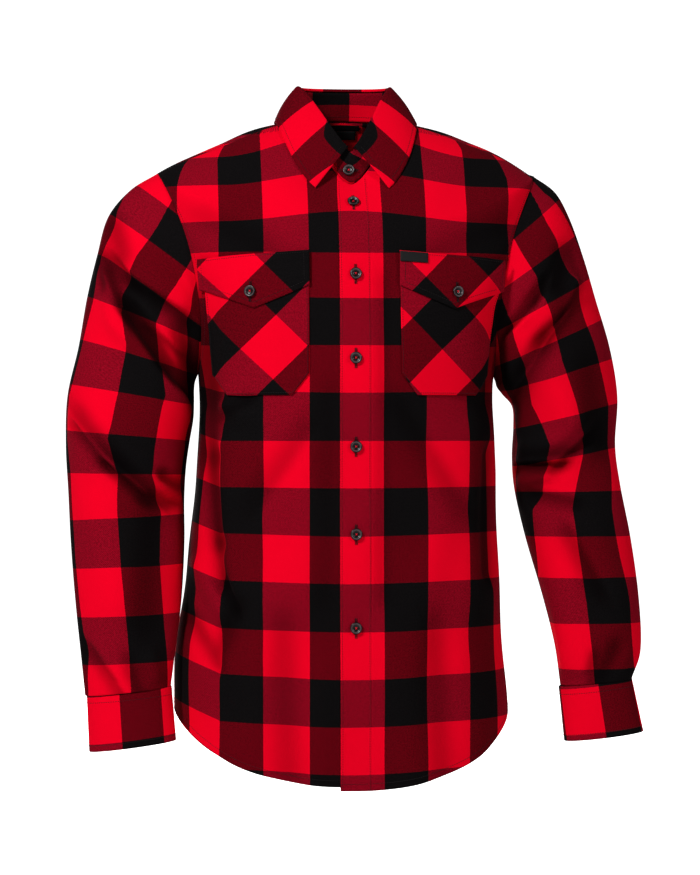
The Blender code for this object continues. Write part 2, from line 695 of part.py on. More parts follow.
def build_stand():
    """The band round the neck: from under the +X side, round the back, to its button."""
    angle = np.linspace(STAND_OVERLAP, -360 - STAND_OVERLAP, STAND_COLUMNS + 1)[None, :]
    t = np.linspace(0, 1, 4)[:, None]
    end = np.minimum(angle - angle[0, -1], angle[0, 0] - angle) / STAND_END
    height = np.maximum(np.sqrt(np.clip(end, 0, 1)), STAND_END_LOW)
    t = 0.5 + (t - 0.5) * height
    normals = stand_normals(angle, t)
    layer = stand_layer(angle + 0 * t)
    outer = stand_point(angle, t) + normals * (layer + SEAM)[..., None]
    outer[0] += unit(outer[1] - outer[0]) * (STAND_FOOT + layer[0] * STAND_FOOT_SHARE)[:, None]
    wall("collar_stand", outer, outer - normals * STAND_WALL, DARK_RED)


def leaf_point(place, t):
    """Collar leaf; place -1 to 1 runs from one front edge to the other, t from the
    stand's top over the roll and down to the edge (t = 1)."""
    place, t = np.broadcast_arrays(np.asarray(place, float), np.asarray(t, float))
    side = np.where(place < 0, -1.0, 1.0)
    u = 1 - np.abs(place)
    roll = side * column(LEAF, "roll", u)
    out = unit(stand_normals(roll, 1.0 + 0 * u) * (1, 1, 0))
    up = np.array((0.0, 0.0, 1.0))
    near = 1 - fade((np.abs(roll) - ROLL_ROOM_FROM) / ROLL_ROOM_OVER)
    lapped = (STAND_LAP + ROLL_ROOM) * near
    inset = (ROLL - STAND_WALL / 2 + lapped)[..., None]
    middle = loop_point(roll, STAND_TOP) + out * inset + up * STAND_FOOT
    swing = np.radians(np.clip(t / ROLL_SHARE, 0, 1) * ROLL_TURN)[..., None]
    arc = middle + ROLL * (-np.cos(swing) * out + np.sin(swing) * up)
    fall = side * column(LEAF, "fall", u)
    v = column(LEAF, "v", u)
    edge = body(fall, v) + body_normals(fall, v) * LEAF_CLEAR
    s = np.clip((t - ROLL_SHARE) / (1 - ROLL_SHARE), 0, 1)[..., None]
    bulge = column(LEAF, "bulge", u)[..., None]
    lean = unit(out + up * LEAF_LEAN)
    fallen = arc + (edge - arc) * s + lean * bulge * 4 * s * (1 - s)
    return np.where(t[..., None] <= ROLL_SHARE, arc, fallen)


def leaf_normals(place, t):
    """Normals on the leaf's outer face."""
    inside = np.clip(place, -0.99, 0.99)
    return normals_of(leaf_point, inside, np.clip(t, 0.01, 0.99), 0.01, 0.01)


def build_leaf():
    """The turned-down collar over the stand."""
    place = np.linspace(-1, 1, LEAF_COLUMNS + 1)[None, :]
    arc = np.linspace(0, ROLL_SHARE, 4)
    t = np.concatenate((arc, np.linspace(ROLL_SHARE, 1, 5)[1:]))[:, None]
    outer = leaf_point(place, t)
    normals = leaf_normals(place + 0 * t, t + 0 * place)
    wall("collar_leaf", outer, outer - normals * CLOTH, RED)


# ================================================================ pockets
def on_grid(grid, places, rows, place, row_at):
    """Points on a panel's own facets, each mixed from its triangle's corners."""
    points = []
    for at, along in zip(np.ravel(place), np.ravel(row_at)):
        row = int(np.clip(np.searchsorted(rows, along) - 1, 0, len(rows) - 2))
        up = (along - rows[row]) / (rows[row + 1] - rows[row])
        line = places[row] * (1 - up) + places[row + 1] * up
        col = int(np.clip(np.searchsorted(line, at) - 1, 0, len(line) - 2))
        on = (at - line[col]) / (line[col + 1] - line[col])
        a, b = grid[row, col], grid[row, col + 1]
        d, c = grid[row + 1, col], grid[row + 1, col + 1]
        low, high = (b - a, c - b) if on > up else (c - d, d - a)
        points.append(a + low * on + high * up)
    return np.reshape(points, np.shape(place) + (3,))


def on_front(side, x, z, height):
    """Points and normals above a front's facets at x and z, measured on the +X side."""
    angle, v = locate(x, z)
    places, rows, outer, _ = front_grid(side)
    points = on_grid(outer, places, rows[:, 0], side * angle, v)
    normals = body_normals(side * angle, v)
    return points + normals * height, normals


def pocket_place(s, t):
    """x and z on a pocket: s from its inner to its outer edge, t from top to bottom."""
    outer = POCKET_OUTER_TOP + (POCKET_OUTER_LOW - POCKET_OUTER_TOP) * t
    x = POCKET_INNER + (outer - POCKET_INNER) * s
    top = POCKET_TOP_IN + (POCKET_TOP_OUT - POCKET_TOP_IN) * s
    return x, top + (POCKET_LOW - top) * t


def build_pocket(side, name):
    """A patch pocket with two cut-off corners, cut on the bias."""
    ends = np.array((0, 0.5, 1)) * POCKET_CORNER
    middle = np.linspace(POCKET_CORNER, 1 - POCKET_CORNER, 8)
    s = np.concatenate((ends, middle[1:-1], 1 - ends[::-1]))[None, :]
    corner = np.clip(np.maximum(1 - s / POCKET_CORNER, 1 - (1 - s) / POCKET_CORNER), 0, 1)
    t = np.linspace(0, 1, 10)[:, None] * (1 - POCKET_RISE * corner)
    x, z = pocket_place(s + 0 * t, t)
    height = LIE + POCKET_STAND_OFF * fade((s - STAND_OFF_FROM) / STAND_OFF_OVER)
    inner, normals = on_front(side, x, z, (height + 0 * t)[..., None])
    wall(name, inner + normals * CLOTH, inner, RED)


def flap_place(s, t):
    """x and z on a flap, whose lower edge comes to a point in the middle."""
    wide = POCKET_OUTER_TOP - POCKET_INNER + 2 * FLAP_OVERHANG
    x = POCKET_INNER - FLAP_OVERHANG + wide * s
    top = FLAP_TOP_IN + (FLAP_TOP_OUT - FLAP_TOP_IN) * s
    point = 1 - np.abs(2 * s - 1)
    drop = (top - FLAP_TIP) * (FLAP_SIDE + (1 - FLAP_SIDE) * point)
    return x, top - drop * t


def build_flap(side, name):
    """The pointed flap over a pocket."""
    s = np.linspace(0, 1, 11)[None, :]
    t = np.linspace(0, 1, 5)[:, None]
    x, z = flap_place(s + 0 * t, t + 0 * s)
    height = 2 * LIE + CLOTH + POCKET_STAND_OFF * fade((s - STAND_OFF_FROM) / STAND_OFF_OVER)
    inner, normals = on_front(side, x, z, (height + 0 * t)[..., None])
    wall(name, inner + normals * CLOTH, inner, RED)


def build_flap_tab():
    """The small woven tab at the inner top corner of the wearer's left flap."""
    s = np.linspace(0, TAB_WIDTH / (POCKET_OUTER_TOP - POCKET_INNER), 3)[None, :]
    x, top = flap_place(s, 0 * s)
    t = np.linspace(TAB_START, 1, 3)[:, None]
    inner, normals = on_front(1, x + 0 * t, top - TAB_DROP * t, 3 * LIE + 2 * CLOTH)
    wall("flap_tab", inner + normals * RIBBON, inner, BLACK)


# ================================================================ small pieces
def inside_yoke(x, drop, depth):
    """Points inside the back of the neck, depth in from the yoke's outer face."""
    v = 1 - drop * 0.02 / np.linalg.norm(body_base(180, 1.0) - body_base(180, 0.98))
    angle = 180 - np.degrees(np.arctan2(x, column(BODY_RINGS, "back", v)))
    normals = body_normals(angle, v)
    return body(angle, v) - normals * depth, normals


def build_inside_strip(name, width, top, drop, color):
    """A flat strip sewn inside the back of the neck."""
    x = np.linspace(-width / 2, width / 2, 5)[None, :]
    down = np.linspace(top, top + drop, 3)[:, None]
    outer, normals = inside_yoke(x + 0 * down, down + 0 * x, CLOTH + LIE)
    wall(name, outer, outer - normals * RIBBON, color)


def build_button(name, centre, normal, radius=BUTTON_RADIUS):
    """A turned button with a raised rim and a dished middle."""
    normal = unit(np.asarray(normal, float))
    across = unit(np.cross(normal, (0.0, 0.3, 1.0)))
    other = np.cross(normal, across)
    turn = np.arange(BUTTON_SIDES) * 2 * np.pi / BUTTON_SIDES
    rim = np.cos(turn)[:, None] * across + np.sin(turn)[:, None] * other
    vertices = [np.asarray(centre) + 0 * normal]
    for share, height in BUTTON_PROFILE[:-1]:
        vertices.extend(centre + rim * radius * share + normal * BUTTON_THICK * height)
    vertices.append(centre + normal * BUTTON_THICK * BUTTON_PROFILE[-1][1])
    faces = []
    for side in range(BUTTON_SIDES):
        after = (side + 1) % BUTTON_SIDES
        faces.append((0, 1 + after, 1 + side))
        for band in range(len(BUTTON_PROFILE) - 2):
            low = 1 + band * BUTTON_SIDES
            high = low + BUTTON_SIDES
            faces.append((low + side, low + after, high + after, high + side))
        top = 1 + (len(BUTTON_PROFILE) - 2) * BUTTON_SIDES
        faces.append((top + side, top + after, len(vertices) - 1))
    add_object(name, vertices, faces, BLACK, roughness=0.25)


def build_buttons():
    """Buttons on the placket, the stand, the flaps and the cuffs."""
    heights = np.array(FRONT_BUTTON_HEIGHTS, float)
    v = locate(0 * heights + 0.01, heights)[1]
    points, normals = placket_grid(0 * v, v)
    for number, (point, normal) in enumerate(zip(points, normals), start=1):
        build_button(f"button_front_{number}", point + normal * LIE, normal)
    angle = -STAND_BUTTON_ANGLE
    point = stand_point(angle, STAND_BUTTON_T)
    normal = stand_normals(np.array(angle), np.array(STAND_BUTTON_T))
    build_button("button_stand", point + normal * (STAND_LAP + 2 * SEAM), normal)
    for side, name in ((-1, "button_pocket_right"), (1, "button_pocket_left")):
        height = 3 * LIE + 2 * CLOTH
        point, normal = on_front(side, np.array([POCKET_BUTTON_X]), np.array([POCKET_BUTTON_Z]), height)
        build_button(name, point[0], normal[0])
    cuffs = ((-1, "button_cuff_right", CUFF_LEFT), (1, "button_cuff_left", CUFF_RIGHT))
    for side, name, ends in cuffs:
        turn = np.array(CUFF_OPENING + CUFF_LAP / 2)
        point = cuff_point(ends, side, turn, np.array(0.5))
        normal = cuff_normals(ends, side, turn, np.array(0.5))
        build_button(name, point + normal * (LAP + LIE), normal, BUTTON_RADIUS * CUFF_BUTTON)


def clear_scene():
    """Remove whatever the scene holds."""
    for item in list(bpy.data.objects):
        bpy.data.objects.remove(item, do_unlink=True)


def main():
    """Build every piece of the shirt."""
    clear_scene()
    build_fronts()
    build_placket()
    build_back()
    build_yoke()
    build_sleeve(-1, "sleeve_right")
    build_sleeve(1, "sleeve_left")
    build_sleeve_placket(-1, "sleeve_placket_right")
    build_sleeve_placket(1, "sleeve_placket_left")
    build_cuff(-1, "cuff_right", CUFF_LEFT)
    build_cuff(1, "cuff_left", CUFF_RIGHT)
    build_stand()
    build_leaf()
    for side, hand in ((-1, "right"), (1, "left")):
        build_pocket(side, "pocket_" + hand)
        build_flap(side, "flap_" + hand)
    build_flap_tab()
    build_inside_strip("hanger_loop", LOOP_WIDTH, LOOP_TOP, LOOP_DROP, RED)
    label_top = LOOP_TOP + LOOP_DROP + LABEL_GAP
    build_inside_strip("neck_label", LABEL_WIDTH, label_top, LABEL_DROP, BLACK)
    build_buttons()


main()
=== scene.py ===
"""Visual model of a long-sleeved flannel shirt in a buffalo check.

The tables are in millimetres. +X is the wearer's left (the viewer's right), the shirt
faces -Y and +Z is up. Each cloth piece is a thin shell sampled from one smooth surface,
with the flat coordinates of its cut as its UV map, so that the woven check follows the
cloth. A side is 1 towards +X and -1 towards -X. Angles and turns are in degrees.
"""

import logging
import math
from dataclasses import dataclass, field
from enum import Enum
from typing import Callable, NamedTuple, Sequence

import bpy
import numpy as np
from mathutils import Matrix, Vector

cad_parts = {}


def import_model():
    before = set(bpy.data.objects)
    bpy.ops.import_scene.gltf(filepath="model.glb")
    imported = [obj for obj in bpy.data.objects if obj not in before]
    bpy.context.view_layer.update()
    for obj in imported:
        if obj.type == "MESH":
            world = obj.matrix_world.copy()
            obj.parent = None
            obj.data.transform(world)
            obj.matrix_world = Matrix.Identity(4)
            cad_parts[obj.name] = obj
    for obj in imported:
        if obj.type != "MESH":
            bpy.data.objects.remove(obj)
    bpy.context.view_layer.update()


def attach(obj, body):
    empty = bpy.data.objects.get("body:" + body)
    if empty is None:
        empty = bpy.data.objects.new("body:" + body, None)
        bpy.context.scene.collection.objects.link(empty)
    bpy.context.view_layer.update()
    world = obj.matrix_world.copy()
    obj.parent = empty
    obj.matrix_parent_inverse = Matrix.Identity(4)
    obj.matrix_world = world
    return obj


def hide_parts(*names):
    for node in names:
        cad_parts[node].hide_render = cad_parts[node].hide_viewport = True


LOG = logging.getLogger("shirt")
MM = 0.001
Array = np.ndarray
Item, Material, Socket = bpy.types.Object, bpy.types.Material, bpy.types.NodeSocket

WALL = 1.5             # thickness of one layer
THIN = 0.8             # thickness of a woven ribbon
LAP = 1.8              # how far an upper layer stands above the one that it laps
LIE = 1.0              # how far a stitched-on piece stands off rounded cloth
GRID = 3.0             # spacing of a panel's points
FINE = 2.6             # spacing on the fronts and the sleeves
WARP, WEFT = 50.5, 55.0  # width of a stripe across the cut, and its height along it
EDGE_BULGE = 0.42      # how far a wall's edge bulges, as a share of its thickness
HALVINGS = 24          # steps that find a level line


# ================================================================ tables
def table(kind: type, *rows: tuple) -> tuple:
    """Rows of a table, as records with named columns."""
    return tuple(kind(*row) for row in rows)


class Ring(NamedTuple):
    """A rounded loop of the body: v, heights, half widths, depths and roundness."""

    v: float
    front_z: float
    side_z: float
    back_z: float
    left: float
    right: float
    front: float
    back: float
    round_front: float
    round_back: float
    dip: float


BODY_RINGS = table(
    Ring,
    (0.00, -786, -700, -806, 207, 193, 138, 132, 2.25, 2.25, 1.45),
    (0.15, -690, -618, -702, 203, 189, 137, 128, 2.25, 2.25, 1.5),
    (0.30, -580, -530, -588, 192, 184, 134, 120, 2.25, 2.25, 1.6),
    (0.45, -450, -425, -455, 181, 180, 132, 113, 2.30, 2.30, 1.6),
    (0.60, -301, -301, -301, 178, 178, 132, 117, 2.30, 2.30, 1.6),
    (0.66, -255, -243, -248, 187, 187, 131, 121, 2.30, 2.30, 1.6),
    (0.72, -210, -181, -190, 203, 203, 127, 123, 2.30, 2.30, 1.7),
    (0.78, -168, -118, -130, 218, 218, 120, 119, 2.27, 2.27, 1.8),
    (0.84, -133, -61, -72, 227, 227, 112, 109, 2.20, 2.20, 1.9),
    (0.85, -129.5, -59.5, -68, 224.5, 224.5, 110.8, 107, 2.19, 2.19, 1.9),
    (0.88, -120, -55, -56, 217, 217, 107, 101, 2.15, 2.15, 1.9),
    (0.92, -110, -43, -41, 194, 194, 101, 91, 2.10, 2.10, 2.0),
    (0.96, -99, -24, -20, 152, 152, 93, 78, 1.95, 2.05, 2.2),
    (0.985, -90, -6, -4, 108, 108, 85, 67, 1.75, 2.00, 2.3),
    (1.00, -80, 3, 8, 69, 66, 76, 58, 1.60, 2.00, 2.4),
)
V_ARMPIT, V_SHOULDER = 0.60, 0.84
HOLE_MIDDLE, HOLE_HALF = (V_ARMPIT + V_SHOULDER) / 2, (V_SHOULDER - V_ARMPIT) / 2
ARMHOLE_FRONT, ARMHOLE_BACK, SIDE = 19.5, 16.0, 90.0
ARMPIT_SHADE = 0.75
CALM_ARMHOLE, CALM_NECK = 0.22, 0.04   # how soon the folds set in beyond a seam
BACK_SEAM_TURN = 300.0   # turn on the armhole where the back meets the yoke
YOKE_FRONT = ((0.84, 0.0), (0.90, 3.5), (0.95, 8.0), (0.98, 11.5), (1.00, 13.0))


class SleeveRing(NamedTuple):
    """An arm's loop through an outer and an inner point, with its middle and depth.

    u runs down the sleeve from 0 to 1, and down the cuff in the same way.
    """

    u: float
    out_x: float
    out_z: float
    in_x: float
    in_z: float
    y: float
    deep: float


class Fold(NamedTuple):
    """A soft trough or ridge between two places seen from the front or the back."""

    face: int
    x0: float
    z0: float
    x1: float
    z1: float
    width: float
    depth: float
    lean: float = 1.0     # the width's share on the left of its run

    def beside(self, points: Array, normals: Array) -> tuple[Array, Array, Array]:
        """Where points lie beside the fold's run.

        Args:
            points: Points of the smooth surface.
            normals: Its normals there.

        Returns:
            The distance to the left of the run, the fold's strength, which dies past the
            run's ends, and its width on that side.
        """
        run = np.array((self.x1 - self.x0, self.z1 - self.z0), float)
        length = float(np.linalg.norm(run))
        run /= length
        dx, dz = points[..., 0] - self.x0, points[..., 2] - self.z0
        along, beside = dx * run[0] + dz * run[1], dz * run[0] - dx * run[1]
        past = np.maximum(np.maximum(-along, along - length), 0)
        facing = fade(-self.face * normals[..., 1] * 2)
        strength = facing * np.exp(-((past / (1.3 * self.width)) ** 2))
        return beside, strength, self.width * np.where(beside > 0, self.lean, 1.0)


CREASE_SHADE = 10.0      # fold depth at which the painted shade takes away about two thirds of the light
MOST_LIFT = 7.0          # where several folds meet they rise or sink no further
SHARP = 0.5              # lean below which a ridge casts a line of shade
# Slight long waves of the whole cloth: their runs in x and z, start and height.
WAVES = ((19, 48, 0.0, 0.8), (-34, 27, 1.3, 0.9), (24, 21, 2.0, 0.5), (-13, 60, 4.0, 0.35))
BODY_FOLDS = table(
    Fold,
    (1, -172, -213, -166, -330, 13, -9), (1, -172, -330, -168, -400, 10, -10, 1.2),
    (1, -168, -400, -160, -500, 9, -14, 1.4), (1, -160, -500, -152, -548, 8, -11, 1.2),
    (1, -150, -390, -148, -545, 9, 6, 1.6), (1, -150, -545, -138, -575, 9, -6, 0.6),
    (1, -138, -575, -156, -620, 10, -6, 1.4), (1, -180, -530, -150, -590, 10, 5),
    (1, -190, -590, -160, -640, 10, -6), (1, -137, -345, -128, -560, 24, 4),
    (1, -156, -338, -128, -350, 12, 6, 0.6), (1, -152, -352, -124, -334, 9, -5),
    (1, 176, -230, 170, -330, 14, -8), (1, 166, -400, 163, -535, 12, -9),
    (1, 142, -380, 140, -560, 20, 5), (1, -60, -372, -112, -450, 20, -4, 0.6),
    (1, -100, -470, -60, -560, 24, 4), (1, 60, -350, 128, -455, 22, -4, 0.6),
    (1, 110, -470, 60, -600, 26, 4), (1, -30, -330, -34, -560, 16, -2.5),
    (1, 34, -200, 32, -560, 12, -2.5), (1, -112, -640, -128, -790, 24, 5),
    (1, -84, -600, -78, -790, 20, -4), (1, -40, -660, -46, -800, 18, 3),
    (1, 58, -630, 66, -800, 20, 4), (1, 96, -600, 104, -780, 18, -4),
    (1, 130, -650, 150, -760, 22, 5), (1, -120, -60, -60, -100, 22, 3),
    (1, -170, -120, -110, -150, 20, -3), (1, 120, -60, 60, -100, 22, 3),
    (1, 176, -130, 110, -156, 20, -3), (-1, -120, -190, -104, -560, 20, 5),
    (-1, -86, -260, -84, -600, 16, -5), (-1, 118, -200, 108, -540, 20, 5),
    (-1, 88, -240, 92, -620, 16, -5), (-1, -158, -330, -150, -620, 12, -7),
    (-1, 156, -320, 150, -600, 12, -7), (-1, -40, -640, -46, -820, 24, 4),
    (-1, 48, -650, 50, -820, 22, -4),
)
# ON_LEFT is the sleeve seen on the left, the wearer's right, and ON_RIGHT the other one.
# Rings and warp lines give x as a distance from the middle, folds give it as seen.
SLEEVE_FOLDS_ON_LEFT = table(
    Fold,
    (1, -290, -178, -268, -236, 16, 7, 0.2), (1, -268, -236, -222, -302, 18, 8, 0.2),
    (1, -222, -302, -184, -345, 16, 8, 0.2), (1, -318, -360, -282, -405, 20, 8, 0.22),
    (1, -282, -405, -236, -449, 20, 8, 0.22), (1, -277, -167, -256, -193, 11, -9, 0.28),
    (1, -256, -193, -190, -238, 12, -13, 0.25), (1, -262, -176, -200, -214, 15, 6),
    (1, -286, -186, -268, -236, 11, 7, 0.28), (1, -268, -236, -221, -305, 12, 9, 0.28),
    (1, -256, -226, -210, -292, 13, -13, 0.6), (1, -221, -305, -184, -340, 11, 7, 0.28),
    (1, -240, -247, -200, -276, 8, -9, 0.28), (1, -296, -165, -290, -195, 8, -9),
    (1, -281, -128, -272, -160, 16, -7), (1, -196, -250, -186, -330, 12, -13),
    (1, -318, -366, -285, -409, 10, -9, 0.28),
    (1, -285, -409, -237, -451, 10, -13, 0.28), (1, -237, -451, -210, -456, 9, -9),
    (1, -300, -372, -226, -426, 17, 7), (1, -218, -424, -194, -440, 8, -13),
    (1, -300, -460, -278, -560, 24, 6), (1, -236, -480, -240, -590, 22, -6),
    (1, -305, -628, -273, -672, 13, -7, 0.35), (1, -262, -640, -250, -676, 9, -6),
    (1, -235, -630, -228, -670, 8, 4), (-1, -262, -200, -212, -262, 11, -10, 0.35),
    (-1, -294, -220, -246, -330, 12, -10, 0.35),
    (-1, -314, -400, -250, -436, 11, -12, 0.35), (-1, -316, -424, -262, -470, 14, 7),
    (-1, -290, -480, -270, -600, 24, 6), (-1, -290, -600, -262, -668, 12, -7),
)
SLEEVE_FOLDS_ON_RIGHT = table(
    Fold,
    (1, 262, -206, 232, -258, 18, 7, 0.22), (1, 232, -258, 200, -316, 18, 6, 0.25),
    (1, 202, -404, 250, -400, 18, 8, 0.22), (1, 250, -400, 284, -368, 18, 6, 0.22),
    (1, 233, -194, 222, -214, 9, -9, 0.35), (1, 222, -214, 192, -247, 10, -13, 0.28),
    (1, 192, -240, 238, -222, 12, 7), (1, 250, -232, 228, -262, 10, -12, 0.28),
    (1, 270, -196, 250, -228, 11, 7), (1, 228, -262, 206, -300, 12, -9, 0.35),
    (1, 256, -164, 250, -196, 13, -9), (1, 271, -158, 275, -176, 10, -6),
    (1, 196, -262, 194, -302, 12, 9), (1, 240, -296, 262, -352, 20, 7),
    (1, 288, -300, 300, -380, 20, -6), (1, 200, -410, 248, -408, 10, -13, 0.28),
    (1, 248, -408, 280, -378, 11, -12, 0.35), (1, 206, -430, 236, -422, 7, 7),
    (1, 216, -392, 262, -384, 14, 7), (1, 226, -446, 262, -452, 14, -7, 0.35),
    (1, 266, -500, 296, -556, 16, -7, 0.35), (1, 290, -490, 312, -560, 20, 6),
    (1, 252, -560, 262, -640, 20, 6), (1, 314, -628, 298, -656, 11, -7),
    (1, 288, -640, 284, -668, 8, -6), (1, 268, -640, 270, -668, 8, 4),
    (-1, 208, -226, 258, -196, 11, -10, 0.35), (-1, 226, -270, 282, -330, 12, -10, 0.35),
    (-1, 226, -402, 306, -432, 11, -12, 0.35), (-1, 236, -444, 300, -458, 14, 7),
    (-1, 270, -480, 300, -590, 24, 6), (-1, 300, -600, 290, -660, 12, -7),
)
SLEEVE_ON_LEFT = table(
    SleeveRing,
    (0.00, 227, -61, 178, -301, 0, 62), (0.07, 259, -81, 180, -305, 0, 66),
    (0.14, 285, -112, 182, -311, 0, 68), (0.22, 299, -160, 183, -321, -1, 68),
    (0.30, 311, -211, 183, -335, -2, 66), (0.38, 321, -269, 184, -356, -3, 63),
    (0.46, 334, -327, 189, -385, -5, 60), (0.54, 336, -385, 193, -415, -7, 57),
    (0.62, 333, -442, 195, -452, -12, 54), (0.70, 330, -500, 195, -500, -21, 51),
    (0.80, 324, -575, 199, -570, -35, 46), (0.90, 317, -640, 207, -632, -48, 38),
    (1.00, 313, -680, 212, -670, -56, 31),
)
SLEEVE_ON_RIGHT = table(
    SleeveRing,
    (0.00, 227, -61, 178, -301, 0, 62), (0.07, 253, -80, 180, -305, 0, 66),
    (0.14, 270, -110, 182, -310, 0, 68), (0.22, 288, -160, 184, -317, -1, 68),
    (0.30, 303, -211, 191, -326, -2, 66), (0.38, 320, -269, 202, -340, -3, 62),
    (0.46, 329, -327, 203, -365, -5, 59), (0.54, 326, -385, 201, -400, -7, 56),
    (0.62, 331, -432, 203, -438, -12, 53), (0.70, 342, -495, 214, -492, -21, 50),
    (0.80, 350, -570, 232, -560, -35, 45), (0.90, 350, -630, 246, -622, -48, 37),
    (1.00, 338, -664, 252, -672, -56, 29),
)
CAP_END = 0.46
CUFF_ON_LEFT = table(
    SleeveRing, (0, 311, -680, 211, -670, -56, 29), (1, 308, -745, 206, -732, -66, 28)
)
CUFF_ON_RIGHT = table(
    SleeveRing, (0, 338, -664, 250, -674, -56, 28), (1, 350, -726, 255, -737, -66, 27)
)
CUFF_LAP, CUFF_OPENING = 24.0, 285.0
SLIT_MIDDLE, SLIT_HALF, SLIT_TOP, SLIT_LOW = 297.0, 12.0, 0.76, 0.985


class WarpRow(NamedTuple):
    """Where three of a sleeve's warp lines stand, outer to inner, at one height."""

    z: float
    outer: float
    middle: float
    inner: float


SLEEVE_WARPS_ON_LEFT = table(
    WarpRow,
    (-676, 309, 259, 216), (-634, 311, 261, 217), (-577, 318, 266, 220),
    (-522, 324, 271, 224), (-462, 328, 275, 223), (-421, 330, 274, 236),
    (-378, 334, 285, 229), (-327, 332, 275, 222), (-270, 317, 267, 234),
    (-243, 311, 272, 241), (-213, 304, 278, 233), (-162, 296, 264, 205),
    (-109, 278, 230, 184), (-60, 250, 195, 150),
)
SLEEVE_WARPS_ON_RIGHT = table(
    WarpRow,
    (-676, 344, 289, 239), (-634, 339, 286, 236), (-577, 332, 280, 231),
    (-522, 322, 273, 226), (-462, 314, 265, 220), (-443, 314, 268, 230),
    (-386, 314, 280, 240), (-338, 315, 270, 220), (-286, 302, 255, 213),
    (-239, 286, 249, 206), (-185, 275, 237, 192), (-144, 259, 216, 184),
    (-98, 235, 187, 142), (-60, 210, 165, 120),
)
# Heights of the check's level lines, from the top down: on the middle and the sides of
# the fronts, and on the outer and inner lines of each sleeve.
FRONT_LINES = (
    (-6, -8, -61, -112, -162, -215, -270, -325, -381,
     -436, -492, -547, -603, -658, -713, -768, -823),
    (-18, -44, -80, -124, -160, -213, -269, -323, -381,
     -435, -489, -544, -600, -653, -708, -762, -816),
)
SLEEVE_LINES_ON_LEFT = (
    (100, 43, -13, -76, -135, -201, -257, -314,
     -369, -419, -475, -532, -589, -645, -701, -757),
    (-20, -72, -127, -182, -238, -259, -300, -338,
     -381, -421, -467, -526, -583, -638, -694, -750),
)
SLEEVE_LINES_ON_RIGHT = (
    (155, 97, 35, -28, -95, -165, -225, -279, -335,
     -388, -441, -495, -544, -598, -652, -703, -757),
    (0, -46, -97, -147, -196, -244, -287, -321, -370,
     -414, -442, -495, -544, -598, -652, -703, -757),
)
FRONT_RED_LINE, SLEEVE_RED_LINE = 4, 3   # number of a line below which the rows are red
FRONT_TURN, CHEST_TURN = 57.0, 74.0      # angle where the girth takes over, low and high
SIDE_RISE, SIDE_RISE_FROM = 0.4, 155.0   # how the rows climb towards the -X side
FLAT_AHEAD = 150.0                       # |x| where the fronts' side heights hold
SLEEVE_LINE_X = (330.0, 188.0)           # where the sleeves' two rows of heights hold
HIDDEN_STRIPES = 6   # stripes on the rest of a sleeve's girth, an even number in all


@dataclass(frozen=True)
class Bias:
    """A check turned by 45 degrees round a square seen at x and z.

    black_a and black_b tell whether that square's two stripes are black.
    """

    x: float
    z: float
    black_a: bool
    black_b: bool
    tilt: float = -45.0

    def flat(self, x: Array, z: Array) -> Array:
        """Flat places of points in millimetres.

        Args:
            x: Seen x of the points.
            z: Their height.

        Returns:
            Place across and along the cut.
        """
        cosine, sine = math.cos(math.radians(self.tilt)), math.sin(math.radians(self.tilt))
        dx, dz = x - self.x, z - self.z
        a = dx * cosine + dz * sine + WARP * (0.5 + self.black_a)
        b = dx * sine - dz * cosine + WEFT * (0.5 + self.black_b)
        return np.stack((a, b), -1)


class Half(NamedTuple):
    """What differs between the shirt's two sides, the sleeve's tables first."""

    hand: str    # the wearer's side, in the nodes' names
    rings: tuple[SleeveRing, ...]
    folds: tuple[Fold, ...]
    cuff: tuple[SleeveRing, ...]
    warps: tuple[WarpRow, ...]
    lines: tuple[tuple[float, ...], ...]
    front_warps: tuple[float, ...]   # seen x of warp lines; the first stripe is red
    cuff_across: float   # flat place of a red stripe's start on the cuff
    cuff_along: float
    pocket: Bias
    flap: Bias


HALVES = {
    1: Half(
        "left", SLEEVE_ON_RIGHT, SLEEVE_FOLDS_ON_RIGHT, CUFF_ON_RIGHT,
        SLEEVE_WARPS_ON_RIGHT, SLEEVE_LINES_ON_RIGHT,
        (-17.5, 33.4, 85, 135, 188, 239, 290), 0.0, 6.0,
        Bias(104.0, -236.5, True, True), Bias(119.9, -188.6, True, False),
    ),
    -1: Half(
        "right", SLEEVE_ON_LEFT, SLEEVE_FOLDS_ON_LEFT, CUFF_ON_LEFT,
        SLEEVE_WARPS_ON_LEFT, SLEEVE_LINES_ON_LEFT,
        (-308, -257, -206, -157, -106, -53.1, -2), -64.0, 8.0,
        Bias(-92.6, -272.0, False, False), Bias(-141.5, -177.2, False, False),
    ),
}
PLACKET_X = (-17.5, 18.5)
UNDER_END_X = 17.0
LIFT_END = 62.0
UNDER_HEM = 0.006
STAND_TOP = Ring(0.0, -41, 40, 43, 56, 51, 66, 50, 1.25, 2.1, 1.5)
STAND_OVERLAP, STAND_BOW, STAND_WALL = 16.5, 0.5, 2.0
STAND_LAP, STAND_FOOT, STAND_BUTTON_ANGLE = 2.3, 2.6, 2.0
ROLL, LEAF_CLEAR = 3.2, 2.6
ROLL_END, ROLL_TURN = 0.25, 140.0   # share of the leaf in its roll, and the roll's turn


class LeafRow(NamedTuple):
    """The leaf's roll angle, and where its edge falls, from its front edge backwards."""

    u: float
    roll: float
    fall: float
    v: float
    bulge: float


LEAF = table(
    LeafRow,
    (0.00, 2.5, 27.5, 0.970, 1), (0.15, 24, 41, 0.980, 2),
    (0.32, 52, 62, 0.989, 3), (0.52, 90, 92, 0.9935, 3),
    (0.76, 136, 136, 0.987, 4), (1.00, 180, 180, 0.983, 5),
    (1.24, 224, 224, 0.987, 4),
)


